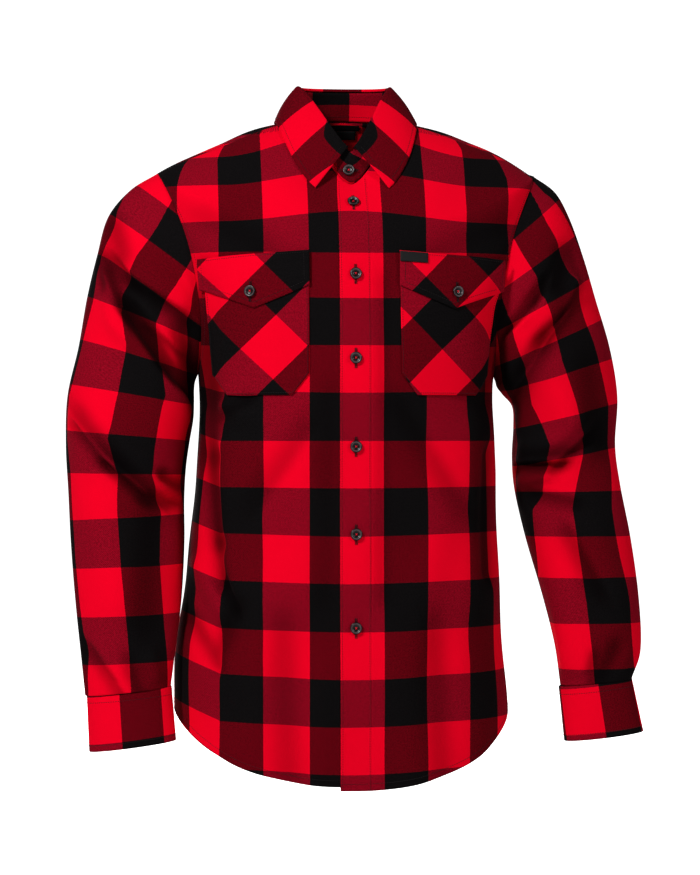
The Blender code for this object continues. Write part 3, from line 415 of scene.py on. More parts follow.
@dataclass(frozen=True)
class PocketCut:
    """Sizes of a chest pocket and its flap on the +X side."""

    inner: float = 54.0
    outer_top: float = 177.0
    outer_low: float = 163.0
    top_in: float = -172.0
    top_out: float = -180.0
    low: float = -327.0
    corner: float = 0.17
    rise: float = 0.16
    stand_off: float = 1.1
    flap_top_in: float = -160.0
    flap_top_out: float = -168.0
    flap_side: float = 0.60
    flap_tip: float = -226.0
    overhang: float = 1.0


POCKET = PocketCut()
POCKET_LONG, FLAP_WIDE, FLAP_LONG = 150.0, 125.0, 60.0   # about; they set the points
TAB_WIDTH, TAB_DROP = 31.0, 12.0
BUTTON_RADIUS, BUTTON_THICK = 7.0, 3.0
FRONT_BUTTON_HEIGHTS = (-102, -187, -284.5, -387.5, -489.5, -598)
POCKET_BUTTON_X, POCKET_BUTTON_Z = 119.0, -207.0
LOOP_WIDTH, LOOP_DROP, LABEL_WIDTH, LABEL_DROP = 44.0, 7.0, 34.0, 13.0


# ================================================================ curves
def smooth_through(knots: Sequence[float], values: Sequence[float], at: Array) -> Array:
    """Cubic curve through knots whose slopes come from their neighbours.

    Args:
        knots: Rising places of the knots.
        values: Value at each knot.
        at: Places to read.

    Returns:
        The curve's value at each place.
    """
    knot = np.asarray(knots, float)
    value = np.asarray(values, float)
    slope = np.gradient(value, knot)
    low = np.clip(np.searchsorted(knot, at, side="right") - 1, 0, len(knot) - 2)
    span = knot[low + 1] - knot[low]
    t = (at - knot[low]) / span
    rise = 3 * t**2 - 2 * t**3
    start = value[low] * (1 - rise) + slope[low] * span * (t**3 - 2 * t**2 + t)
    return start + value[low + 1] * rise + slope[low + 1] * span * (t**3 - t**2)


def columns(rows: Sequence[NamedTuple], at: Array) -> list[Array]:
    """Every column of a table as a smooth curve over its first column."""
    values = np.array(rows, float)
    return [smooth_through(values[:, 0], column, at) for column in values[:, 1:].T]


def spread(p: Array, q: Array) -> tuple[Array, Array]:
    """Two parameters as arrays of one shape."""
    return tuple(np.broadcast_arrays(np.asarray(p, float), np.asarray(q, float)))


def fade(t: Array) -> Array:
    """Smooth step from 0 to 1."""
    t = np.clip(t, 0, 1)
    return t * t * (3 - 2 * t)


def unit(vectors: Array) -> Array:
    """Vectors brought to length 1."""
    return vectors / np.maximum(np.linalg.norm(vectors, axis=-1, keepdims=True), 1e-9)


def beside_front(angle: Array) -> Array:
    """How far an angle turns from the front, 0 to 180, to either side."""
    return np.abs((angle + 180) % 360 - 180)


def loop_point(angle: Array, ring: Ring) -> Array:
    """Point of a rounded loop.

    Args:
        angle: Angle from the front, +90 towards +X.
        ring: The loop's sizes.

    Returns:
        The point at each angle.
    """
    sine, cosine = np.sin(np.radians(angle)), np.cos(np.radians(angle))
    wide = np.where(sine > 0, ring.right, ring.left)
    deep = np.where(cosine > 0, ring.front, ring.back)
    power = np.where(cosine > 0, ring.round_front, ring.round_back)
    end_z = np.where(cosine > 0, ring.front_z, ring.back_z)
    radius = (np.abs(sine / wide) ** power + np.abs(cosine / deep) ** power) ** (-1 / power)
    ahead = np.abs(radius * cosine) / deep
    z = ring.side_z + (end_z - ring.side_z) * ahead**ring.dip
    return np.stack((radius * sine, -radius * cosine, z), -1)


def oval(side: int, ring: SleeveRing, turn: Array) -> Array:
    """Ellipse through a ring's outer and inner points.

    Args:
        side: The arm's side.
        ring: The ring's sizes.
        turn: 0 at the outer point, 90 in front, 180 at the inner point.

    Returns:
        The point at each turn.
    """
    cosine, sine = np.cos(np.radians(turn)), np.sin(np.radians(turn))
    x = (ring.out_x + ring.in_x) / 2 + (ring.out_x - ring.in_x) / 2 * cosine
    z = (ring.out_z + ring.in_z) / 2 + (ring.out_z - ring.in_z) / 2 * cosine
    return np.stack((side * x, ring.y - ring.deep * sine, z), -1)


def normals_of(surface: Callable, p: Array, q: Array, steps: tuple[float, float]) -> Array:
    """Unit normals of a surface from its slopes.

    Args:
        surface: Gives the point at two parameters.
        p: First parameter.
        q: Second parameter.
        steps: A small step of each.

    Returns:
        The normals.
    """
    along_p = surface(p + steps[0], q) - surface(p - steps[0], q)
    along_q = surface(p, q + steps[1]) - surface(p, q - steps[1])
    return unit(np.cross(along_p, along_q))


def path_length(points: Array, axis: int) -> Array:
    """Distance along the grid's lines from their first point.

    Args:
        points: A grid of points.
        axis: The grid's axis along which the lines run.

    Returns:
        The distance at each point.
    """
    steps = np.linalg.norm(np.diff(points, axis=axis), axis=-1)
    start = np.zeros_like(np.take(steps, [0], axis=axis))
    return np.concatenate((start, np.cumsum(steps, axis=axis)), axis=axis)


def steps_for(length: float, spacing: float = GRID) -> int:
    """How many cells of about the wanted spacing fit a length."""
    return max(2, int(round(length / spacing)))


def shares(length: float, spacing: float = GRID) -> Array:
    """Even shares from 0 to 1 for the points along a length."""
    return np.linspace(0, 1, steps_for(length, spacing) + 1)


# ================================================================ forms
class Form:
    """A surface P(p, q): a smooth base that its folds raise.

    Attributes:
        side: -1 where the slopes' cross product points inwards.
        steps: Small steps of p and q.
        folds: The folds.
    """

    side: int = 1
    steps: tuple[float, float]
    folds: tuple[Fold, ...]

    def base(self, p: Array, q: Array) -> Array:
        """Surface without folds."""
        raise NotImplementedError

    def calm(self, p: Array, q: Array, normals: Array) -> Array:
        """Share of the folds that stays at each point."""
        raise NotImplementedError

    def pit(self, p: Array, q: Array) -> Array:
        """Light lost round the armpit."""
        raise NotImplementedError

    def smooth_normal(self, p: Array, q: Array) -> Array:
        """Outward normals of the surface without folds."""
        return self.side * normals_of(self.base, p, q, self.steps)

    def point(self, p: Array, q: Array) -> Array:
        """Surface with its folds.

        Args:
            p: First parameter.
            q: Second parameter.

        Returns:
            The points.
        """
        base, normals = self.base(p, q), self.smooth_normal(p, q)
        lift = self.lift(base, normals) * self.calm(p, q, normals)
        return base + lift[..., None] * normals

    def normal(self, p: Array, q: Array) -> Array:
        """Outward normals of the folded surface."""
        return self.side * normals_of(self.point, p, q, self.steps)

    def lift(self, base: Array, normals: Array) -> Array:
        """How far the folds and the long waves raise each point: a bell across each fold.

        Args:
            base: Points of the smooth surface.
            normals: Its normals there.

        Returns:
            The height of each point above it.
        """
        lift = np.zeros(base.shape[:-1])
        for fold in self.folds:
            beside, strength, across = fold.beside(base, normals)
            lift += fold.depth * strength * np.exp(-((beside / across) ** 2))
        for x_run, z_run, start, height in WAVES:
            lift += height * np.sin(base[..., 0] / x_run + base[..., 2] / z_run + start)
        return MOST_LIFT * np.tanh(lift / MOST_LIFT)

    def shade(self, p: Array, q: Array) -> Array:
        """Light lost in troughs, under sharp ridges and round the armpit.

        Args:
            p: First parameter.
            q: Second parameter.

        Returns:
            The loss at each point, 0 to 1.
        """
        base, normals = self.base(p, q), self.smooth_normal(p, q)
        dark = np.zeros(base.shape[:-1])
        for fold in self.folds:
            beside, strength, across = fold.beside(base, normals)
            steep = fold.width * min(fold.lean, 1.0)
            if fold.depth < 0:
                away = beside / (0.8 * across)
            elif fold.lean < SHARP:
                away = (beside - steep) / np.where(beside > steep, 2.4 * steep, 0.9 * steep)
            else:
                continue
            dark += abs(fold.depth) / CREASE_SHADE * strength * np.exp(-(away**2))
        return 1 - np.exp(-dark) * (1 - self.pit(p, q))


class Body(Form):
    """The shirt's body: P(angle, v), rings from the hem (v = 0) to the neck (v = 1)."""

    steps = (0.2, 0.001)
    folds = BODY_FOLDS
    pit_from, pit_span = 52.0, 22.0   # angle where the armpit's shade starts
    pit_v, pit_reach = 0.61, 0.10     # its height, and how far it reaches
    newton_steps, first_depth = 12, 125.0

    def ring(self, v: Array) -> Ring:
        """The body's ring at any height."""
        return Ring(v, *columns(BODY_RINGS, v))

    def base(self, angle: Array, v: Array) -> Array:
        """Surface without folds."""
        angle, v = spread(angle, v)
        return loop_point(angle, self.ring(v))

    def calm(self, angle: Array, v: Array, normals: Array) -> Array:
        """Share of the folds that stays: none at the armholes' and the neck's seams.

        Args:
            angle: Angle of the points.
            v: Their height.
            normals: Their smooth normals; not used.

        Returns:
            The share at each point.
        """
        side = beside_front(angle)
        depth = np.where(side < SIDE, ARMHOLE_FRONT, ARMHOLE_BACK)
        reach = np.hypot((side - SIDE) / depth, (v - HOLE_MIDDLE) / HOLE_HALF)
        return fade((reach - 1) / CALM_ARMHOLE) * fade((1 - v) / CALM_NECK)

    def pit(self, angle: Array, v: Array) -> Array:
        """Light lost in front of the armpits."""
        turned = fade((beside_front(angle) - self.pit_from) / self.pit_span)
        return ARMPIT_SHADE * turned * np.exp(-(((v - self.pit_v) / self.pit_reach) ** 2))

    def locate(self, x: Array, z: Array) -> tuple[Array, Array]:
        """Find the front's points by Newton steps.

        Args:
            x: Where they are seen across.
            z: Their height.

        Returns:
            Their angle and v.
        """
        x, z = spread(x, z)
        by, up = 0.1, self.steps[1]
        angle = np.degrees(np.arctan2(x, self.first_depth))
        v = np.interp(z, [row.front_z for row in BODY_RINGS], [row.v for row in BODY_RINGS])
        for _ in range(self.newton_steps):
            here = self.base(angle, v)
            by_angle = (self.base(angle + by, v) - here) / by
            by_v = (self.base(angle, v + up) - here) / up
            dx, dz = x - here[..., 0], z - here[..., 2]
            det = by_angle[..., 0] * by_v[..., 2] - by_v[..., 0] * by_angle[..., 2]
            angle = angle + (dx * by_v[..., 2] - dz * by_v[..., 0]) / det
            rise = (dz * by_angle[..., 0] - dx * by_angle[..., 2]) / det
            v = np.clip(v + rise, 0.0, 1.0)
        return angle, v

    def front_angle(self, x: Array, v: Array) -> Array:
        """Angle of the front's point at a small x."""
        return np.degrees(np.arctan2(x, self.ring(v).front))

    def armhole(self, turn: Array) -> tuple[Array, Array]:
        """Where the armhole runs on the +X side.

        Args:
            turn: 0 at the shoulder, 90 in front, 180 at the armpit, 270 behind.

        Returns:
            Angle and v of its points.
        """
        sine = np.sin(np.radians(turn))
        depth = np.where(sine > 0, ARMHOLE_FRONT, ARMHOLE_BACK)
        return SIDE - depth * sine, HOLE_MIDDLE + HOLE_HALF * np.cos(np.radians(turn))

    def side_angle(self, v: Array, cut: float) -> Array:
        """Angle where a panel ends on the +X side.

        Args:
            v: Height of its rows.
            cut: Widest turn from the side to the armhole's edge, negative to the front.

        Returns:
            The angle at each row.
        """
        reach = np.sqrt(np.clip(1 - ((v - HOLE_MIDDLE) / HOLE_HALF) ** 2, 0, 1))
        ahead = smooth_through(*zip(*YOKE_FRONT), at=v)
        return SIDE + cut * reach - np.where(v > V_SHOULDER, ahead, 0)


BODY = Body()


class FlatBody:
    """Flat coordinates of the body's cloth, measured along the folded surface.

    They are the girth from the middle of the front and the length up from the armpit.
    """

    turns, rises = 720, 300   # cells of its table round the body and up it

    def __init__(self) -> None:
        """Measure the surface once on a fine table."""
        angles = np.linspace(-360, 360, self.turns + 1)
        points = BODY.point(angles[None, :], np.linspace(0, 1, self.rises + 1)[:, None])
        girth = path_length(points * np.array((1, 1, 0)), 1)
        middle = self.turns // 2
        self.girth = girth - girth[:, middle : middle + 1]
        length = path_length(points, 0)
        armpit = int(round(V_ARMPIT * self.rises))
        self.length = length - length[armpit : armpit + 1]

    def read(self, angle: Array, v: Array) -> tuple[Array, Array]:
        """Read between the table's points.

        Args:
            angle: Angle on the body.
            v: Height on the body.

        Returns:
            The girth and the length there.
        """
        end = 0.001
        a, b = spread(
            np.clip(np.asarray(angle, float) + 360, 0, self.turns - end),
            np.clip(np.asarray(v, float) * self.rises, 0, self.rises - end),
        )
        col, row = a.astype(int), b.astype(int)
        s, t = a - col, b - row
        found = []
        for values in (self.girth, self.length):
            low = values[row, col] * (1 - s) + values[row, col + 1] * s
            high = values[row + 1, col] * (1 - s) + values[row + 1, col + 1] * s
            found.append(low * (1 - t) + high * t)
        return found[0], found[1]


@dataclass(frozen=True)
class Sleeve(Form):
    """A set-in sleeve: P(turn, u), rings from the armhole (u = 0) to the cuff (u = 1)."""

    side: int
    steps = (1.0, 0.002)
    calm_top, calm_cuff = 0.08, 0.05   # how soon the folds set in from its two ends
    pit_from, pit_span, pit_reach = 70.0, 50.0, 0.33

    @property
    def folds(self) -> tuple[Fold, ...]:
        """The sleeve's folds."""
        return HALVES[self.side].folds

    def base(self, turn: Array, u: Array) -> Array:
        """Surface without folds; near the armhole it moves over to the armhole's loop.

        Args:
            turn: Turn round the sleeve, 0 outside and 90 in front.
            u: Share of its length.

        Returns:
            The points.
        """
        rings = HALVES[self.side].rings
        turn, u = spread(turn, u)
        here = oval(self.side, SleeveRing(u, *columns(rings, u)), turn)
        angle, v = BODY.armhole(turn)
        moved = BODY.base(self.side * angle, v) - oval(self.side, rings[0], turn)
        return here + moved * (1 - fade(u / CAP_END))[..., None]

    def calm(self, turn: Array, u: Array, normals: Array) -> Array:
        """Share of the folds that stays: none at its ends and its outline."""
        ends = fade(u / self.calm_top) * fade((1 - u) / self.calm_cuff)
        return ends * fade(1.7 * np.abs(normals[..., 1]) - 0.25)

    def pit(self, turn: Array, u: Array) -> Array:
        """Light lost at the armpit."""
        inside = fade((self.pit_from - np.abs(turn - 180)) / self.pit_span)
        return ARMPIT_SHADE * inside * np.exp(-((u / self.pit_reach) ** 2))


@dataclass(frozen=True)
class Cuff:
    """A barrel cuff: P(turn, t), t from its top seam to its free edge."""

    side: int

    def point(self, turn: Array, t: Array) -> Array:
        """The cuff's surface between its two edges.

        Args:
            turn: Turn round the cuff, 0 outside and 90 in front.
            t: Share of its height, from its top seam.

        Returns:
            The points.
        """
        top, low = HALVES[self.side].cuff
        mix = SleeveRing(*(start + (end - start) * t for start, end in zip(top, low)))
        return oval(self.side, mix, turn)

    def normal(self, turn: Array, t: Array) -> Array:
        """Outward normals."""
        return self.side * normals_of(self.point, turn, t, (1.0, 0.05))

    def layer(self, turn: Array) -> Array:
        """How far the upper end stands above the lower end that it laps."""
        return LAP * fade((turn - CUFF_OPENING - 360 + CUFF_LAP + 30) / 30)


@dataclass(frozen=True)
class Collar:
    """The collar's stand, P(angle, t) from the neck seam up, and its leaf, P(place, t).

    Attributes:
        lap_turn: Angle over which the stand's last end rises onto the first.
        near, far: Angle beside the front where the leaf is still lifted, and no longer.
        crown: How far up the leaf's bulge leans.
    """

    lap_turn: float = 45.0
    near: float = 18.0
    far: float = 60.0
    crown: float = 0.35

    def stand(self, angle: Array, t: Array) -> Array:
        """Outer face of the stand, slightly bowed.

        Args:
            angle: Angle from the front.
            t: 0 at the neck seam, 1 at the stand's top.

        Returns:
            The points.
        """
        angle, t = spread(angle, t)
        low, top = loop_point(angle, BODY_RINGS[-1]), loop_point(angle, STAND_TOP)
        bow = STAND_BOW * np.sin(np.pi * t)[..., None] * unit(low * (1, 1, 0))
        return low + (top - low) * t[..., None] + bow

    def stand_normal(self, angle: Array, t: Array) -> Array:
        """Outward normals of the stand."""
        return normals_of(self.stand, angle, t, (0.5, 0.02))

    def stand_layer(self, angle: Array) -> Array:
        """The last end laps the first one and the under front."""
        return STAND_LAP * fade((-angle - 300) / self.lap_turn)

    def leaf(self, place: Array, t: Array) -> Array:
        """The leaf: an arc over the stand's top, then down to its edge.

        Args:
            place: -1 and 1 at its front edges, 0 behind.
            t: 0 inside the stand, 1 at the free edge.

        Returns:
            The points.
        """
        place, t = spread(place, t)
        side = np.where(place < 0, -1.0, 1.0)
        roll, fall, v, bulge = columns(LEAF, 1 - np.abs(place))
        roll, fall = side * roll, side * fall
        out = unit(self.stand_normal(roll, 1.0 + 0 * roll) * (1, 1, 0))
        up = np.array((0.0, 0.0, 1.0))
        lifted = 1 - fade((np.abs(roll) - self.near) / (self.far - self.near))
        inset = (ROLL - STAND_WALL / 2 + (STAND_LAP + LIE) * lifted)[..., None]
        middle = loop_point(roll, STAND_TOP) + out * inset + up * STAND_FOOT
        swing = np.radians(np.clip(t / ROLL_END, 0, 1) * ROLL_TURN)[..., None]
        arc = middle + ROLL * (-np.cos(swing) * out + np.sin(swing) * up)
        edge = BODY.point(fall, v) + BODY.normal(fall, v) * LEAF_CLEAR
        s = np.clip((t - ROLL_END) / (1 - ROLL_END), 0, 1)[..., None]
        lean = unit(out + up * self.crown)
        fallen = arc + (edge - arc) * s + lean * bulge[..., None] * 4 * s * (1 - s)
        return np.where(t[..., None] <= ROLL_END, arc, fallen)

    def leaf_normal(self, place: Array, t: Array) -> Array:
        """Normals on the leaf's outer face."""
        place, t = np.clip(place, -0.99, 0.99), np.clip(t, 0.01, 0.99)
        return normals_of(self.leaf, place, t, (0.01, 0.01))


COLLAR = Collar()


# ================================================================ materials
def srgb(code: str) -> tuple[float, float, float, float]:
    """Linear colour from an sRGB hex code such as c81428.

    Args:
        code: Its six digits.

    Returns:
        Red, green, blue and an alpha of 1.
    """
    parts = [int(code[i : i + 2], 16) / 255 for i in (0, 2, 4)]
    linear = [p / 12.92 if p <= 0.04045 else ((p + 0.055) / 1.055) ** 2.4 for p in parts]
    return (linear[0], linear[1], linear[2], 1.0)


class Nodes:
    """A material's node tree, with one small function that adds a node."""

    def __init__(self, name: str) -> None:
        """Start an empty material with its output and a Principled shader.

        Args:
            name: The material's name.
        """
        self.material = bpy.data.materials.new(name)
        self.material.use_nodes = True
        self.tree = self.material.node_tree
        self.tree.nodes.clear()
        self.shader = self.add("ShaderNodeBsdfPrincipled")
        self.add("ShaderNodeOutputMaterial", {"Surface": self.shader.outputs[0]})

    def put(self, socket: Socket, value: object) -> None:
        """Link a source to a socket, or set the socket's own value.

        Args:
            socket: The input.
            value: A source socket or a plain value.
        """
        if isinstance(value, Socket):
            self.tree.links.new(value, socket)
        else:
            socket.default_value = value

    def add(
        self, kind: str, inputs: dict | None = None, **settings: object
    ) -> bpy.types.Node:
        """Add a node.

        Args:
            kind: Blender's name of the node type.
            inputs: Value or source socket for each named or numbered input.
            settings: Properties set on the node itself.

        Returns:
            The new node.
        """
        node = self.tree.nodes.new(kind)
        for key, value in settings.items():
            setattr(node, key, value)
        for key, value in (inputs or {}).items():
            self.put(node.inputs[key], value)
        return node

    def math(self, operation: str, *values: object) -> Socket:
        """Result of a math node on numbers or sockets."""
        node = self.add("ShaderNodeMath", dict(enumerate(values)), operation=operation)
        return node.outputs[0]

    def mix(self, share: object, a: object, b: object) -> Socket:
        """Mix of two colours."""
        node = self.add("ShaderNodeMix", {0: share, 6: a, 7: b}, data_type="RGBA")
        return node.outputs[2]

    def weighed(self, a: Socket, share_a: float, b: Socket, share_b: float) -> Socket:
        """Sum of two values, each times its share."""
        parts = self.math("MULTIPLY", a, share_a), self.math("MULTIPLY", b, share_b)
        return self.math("ADD", *parts)

    def noise(self, at: Socket, scale: float, detail: float, rough: float = 0.5) -> Socket:
        """A noise texture's value."""
        inputs = {"Vector": at, "Scale": scale, "Detail": detail, "Roughness": rough}
        return self.add("ShaderNodeTexNoise", inputs).outputs[0]

    def attribute(self, name: str) -> Socket:
        """A number stored on the mesh's points."""
        return self.add("ShaderNodeAttribute", attribute_name=name).outputs["Fac"]

    def set(self, **values: object) -> None:
        """Set or link the shader's inputs, named with _ for a space."""
        for key, value in values.items():
            self.put(self.shader.inputs[key.replace("_", " ")], value)


@dataclass(frozen=True)
class Flannel:
    """Brushed cotton twill in a two-colour check of the yarns themselves.

    It gives the eye a matt, dry red and black with soft squares. The UV map holds metres:
    u across the warp and v along it. Red on red gives the bright squares, black on black
    the dark ones, and the twill of one over the other the deep red ones, whose ribs and
    nap show as a fine grain. They are redder where the warp is red, which lies on top in
    a twill. Each pair of tones runs from hollow to rib. Real ribs and nap are too fine to
    show from this distance, so both are drawn coarser.
    """

    red: tuple[str, str] = ("f4002e", "d80026")
    by_weft: tuple[str, str] = ("3c040d", "8c0a20")
    by_warp: tuple[str, str] = ("580814", "b61132")
    black: tuple[str, str] = ("0c0b0c", "201d1e")
    # Near-black towards which the painted shade in folds and round the armpits darkens the
    # cloth.
    shadow: str = "080203"
    fray: float = 0.0012      # metres by which a stripe's edge wavers, as nap does
    rib_scale: float = 330.0
    bump_depth: float = 0.0006

    def stripe(self, nodes: Nodes, place: Socket, width: float, fray: Socket) -> Socket:
        """1 where a stripe of black yarn runs, width metres wide.

        Args:
            nodes: The material's tree.
            place: Place on the flat cut, in metres.
            width: Width of a stripe, in metres.
            fray: How far the stripe's edge wavers.

        Returns:
            The stripe's mask.
        """
        moved = nodes.math("ADD", place, fray)
        turns = nodes.math("FRACT", nodes.math("DIVIDE", moved, 2 * width))
        return nodes.math("GREATER_THAN", turns, 0.5)

    def build(self, name: str) -> Material:
        """Make the material.

        Args:
            name: Its name.

        Returns:
            The new material.
        """
        nodes = Nodes(name)
        flat = nodes.add("ShaderNodeUVMap", uv_map="Cloth").outputs[0]
        u, v = nodes.add("ShaderNodeSeparateXYZ", {0: flat}).outputs[:2]
        fine = nodes.noise(flat, 900.0, 3.0)
        fray = nodes.math("MULTIPLY", nodes.math("SUBTRACT", fine, 0.5), self.fray)
        warp = self.stripe(nodes, u, WARP * MM, fray)
        weft = self.stripe(nodes, v, WEFT * MM, fray)
        ribs = {"Vector": flat, "Scale": self.rib_scale, "Distortion": 1.2, "Detail": 1.0}
        ribs["Detail Scale"] = 4.0
        rib = nodes.add("ShaderNodeTexWave", ribs, bands_direction="DIAGONAL").outputs[1]
        nap = nodes.noise(flat, 560.0, 4.0, 0.75)
        soft = nodes.noise(flat, 38.0, 3.0)
        mottle = nodes.weighed(nap, 0.75, rib, 0.25)
        ends = {0: mottle, 1: 0.30, 2: 0.72, 3: 0.0, 4: 1.0}
        grain = nodes.add("ShaderNodeMapRange", ends).outputs[0]
        red = nodes.mix(nodes.math("MULTIPLY", grain, 0.3), *map(srgb, self.red))
        by_warp, by_weft, black = (
            nodes.mix(grain, *map(srgb, tones))
            for tones in (self.by_warp, self.by_weft, self.black)
        )
        both = nodes.math("ADD", warp, weft)
        one, two = (nodes.math("GREATER_THAN", both, limit) for limit in (0.5, 1.5))
        deep = nodes.mix(warp, by_warp, by_weft)
        color = nodes.mix(two, nodes.mix(one, red, deep), black)
        # Painted shade: a number on each point, from the folds and the armpits, darkens the
        # cloth towards the shadow colour.
        painted_shade = nodes.math("MULTIPLY", nodes.attribute("painted_shade"), 0.9)
        height = nodes.weighed(mottle, 0.8, soft, 0.6)
        bump = {"Strength": 0.5, "Distance": self.bump_depth, "Height": height}
        nodes.set(
            Base_Color=nodes.mix(painted_shade, color, srgb(self.shadow)),
            Normal=nodes.add("ShaderNodeBump", bump).outputs[0],
            Roughness=0.95, Specular_IOR_Level=0.04,
            Sheen_Weight=0.015, Sheen_Roughness=0.5, Sheen_Tint=(1.0, 0.7, 0.7, 1.0),
        )
        return nodes.material


def black_resin() -> Material:
    """Cast resin of a button: black and glossy, with a painted grey highlight on its raised
    rim.

    Returns:
        The new material.
    """
    nodes = Nodes("black_resin")
    # The rim numbers paint a grey highlight ring on the raised rim.
    color = nodes.mix(nodes.attribute("rim"), srgb("080607"), srgb("5a5052"))
    nodes.set(Base_Color=color, Roughness=0.32, IOR=1.5)
    return nodes.material


def plain(name: str, code: str, roughness: float) -> Material:
    """A material of one colour.

    Args:
        name: Its name.
        code: Its sRGB hex code.
        roughness: Its roughness.

    Returns:
        The new material.
    """
    nodes = Nodes(name)
    nodes.set(Base_Color=srgb(code), Roughness=roughness)
    return nodes.material


@dataclass
class Finishes:
    """The shirt's materials, made once."""

    flannel: Material = field(init=False)
    thread: Material = field(init=False)
    red_thread: Material = field(init=False)
    button: Material = field(init=False)
    woven: Material = field(init=False)

    def __post_init__(self) -> None:
        """Make each material."""
        self.flannel = Flannel().build("brushed_flannel")
        # Cotton thread has a faint lustre, so that its rows show on the dark squares.
        self.thread = plain("black_thread", "15090c", 0.7)
        # The buttons are sewn on in the cloth's red, a bright fleck in each middle.
        self.red_thread = plain("red_thread", "e0102c", 0.6)
        self.button = black_resin()
        # Ribbon is flat and even, without nap, so that it stands out from the flannel.
        self.woven = plain("woven_ribbon", "0f0e0f", 0.8)


# ================================================================ shells
class Edge(Enum):
    """A side of a patch's grid."""

    FIRST_ROW = "first row"
    LAST_ROW = "last row"
    FIRST_COLUMN = "first column"
    LAST_COLUMN = "last column"


class Hold(Enum):
    """How a sheet of cloth is held."""

    HUNG = "hung"
    DRAPED = "draped"
    LAID = "laid"
    FOLDED = "folded"


class Line(NamedTuple):
    """A line on a surface: its points and the unit normals there."""

    points: Array
    normals: Array


class Seam(NamedTuple):
    """A row of stitches that keeps a distance from one edge of a patch.

    Attributes:
        edge: The edge that it follows.
        inset: Its distance from the edge.
        part: Shares of the edge where it starts and ends.
        inside: Whether it lies on the inner face.
    """

    edge: Edge
    inset: float
    part: tuple[float, float] = (0.0, 1.0)
    inside: bool = False


def on_sides(inset: float, part: tuple[float, float] = (0.0, 1.0)) -> tuple[Seam, Seam]:
    """The same row along a patch's first and its last column."""
    return Seam(Edge.FIRST_COLUMN, inset, part), Seam(Edge.LAST_COLUMN, inset, part)


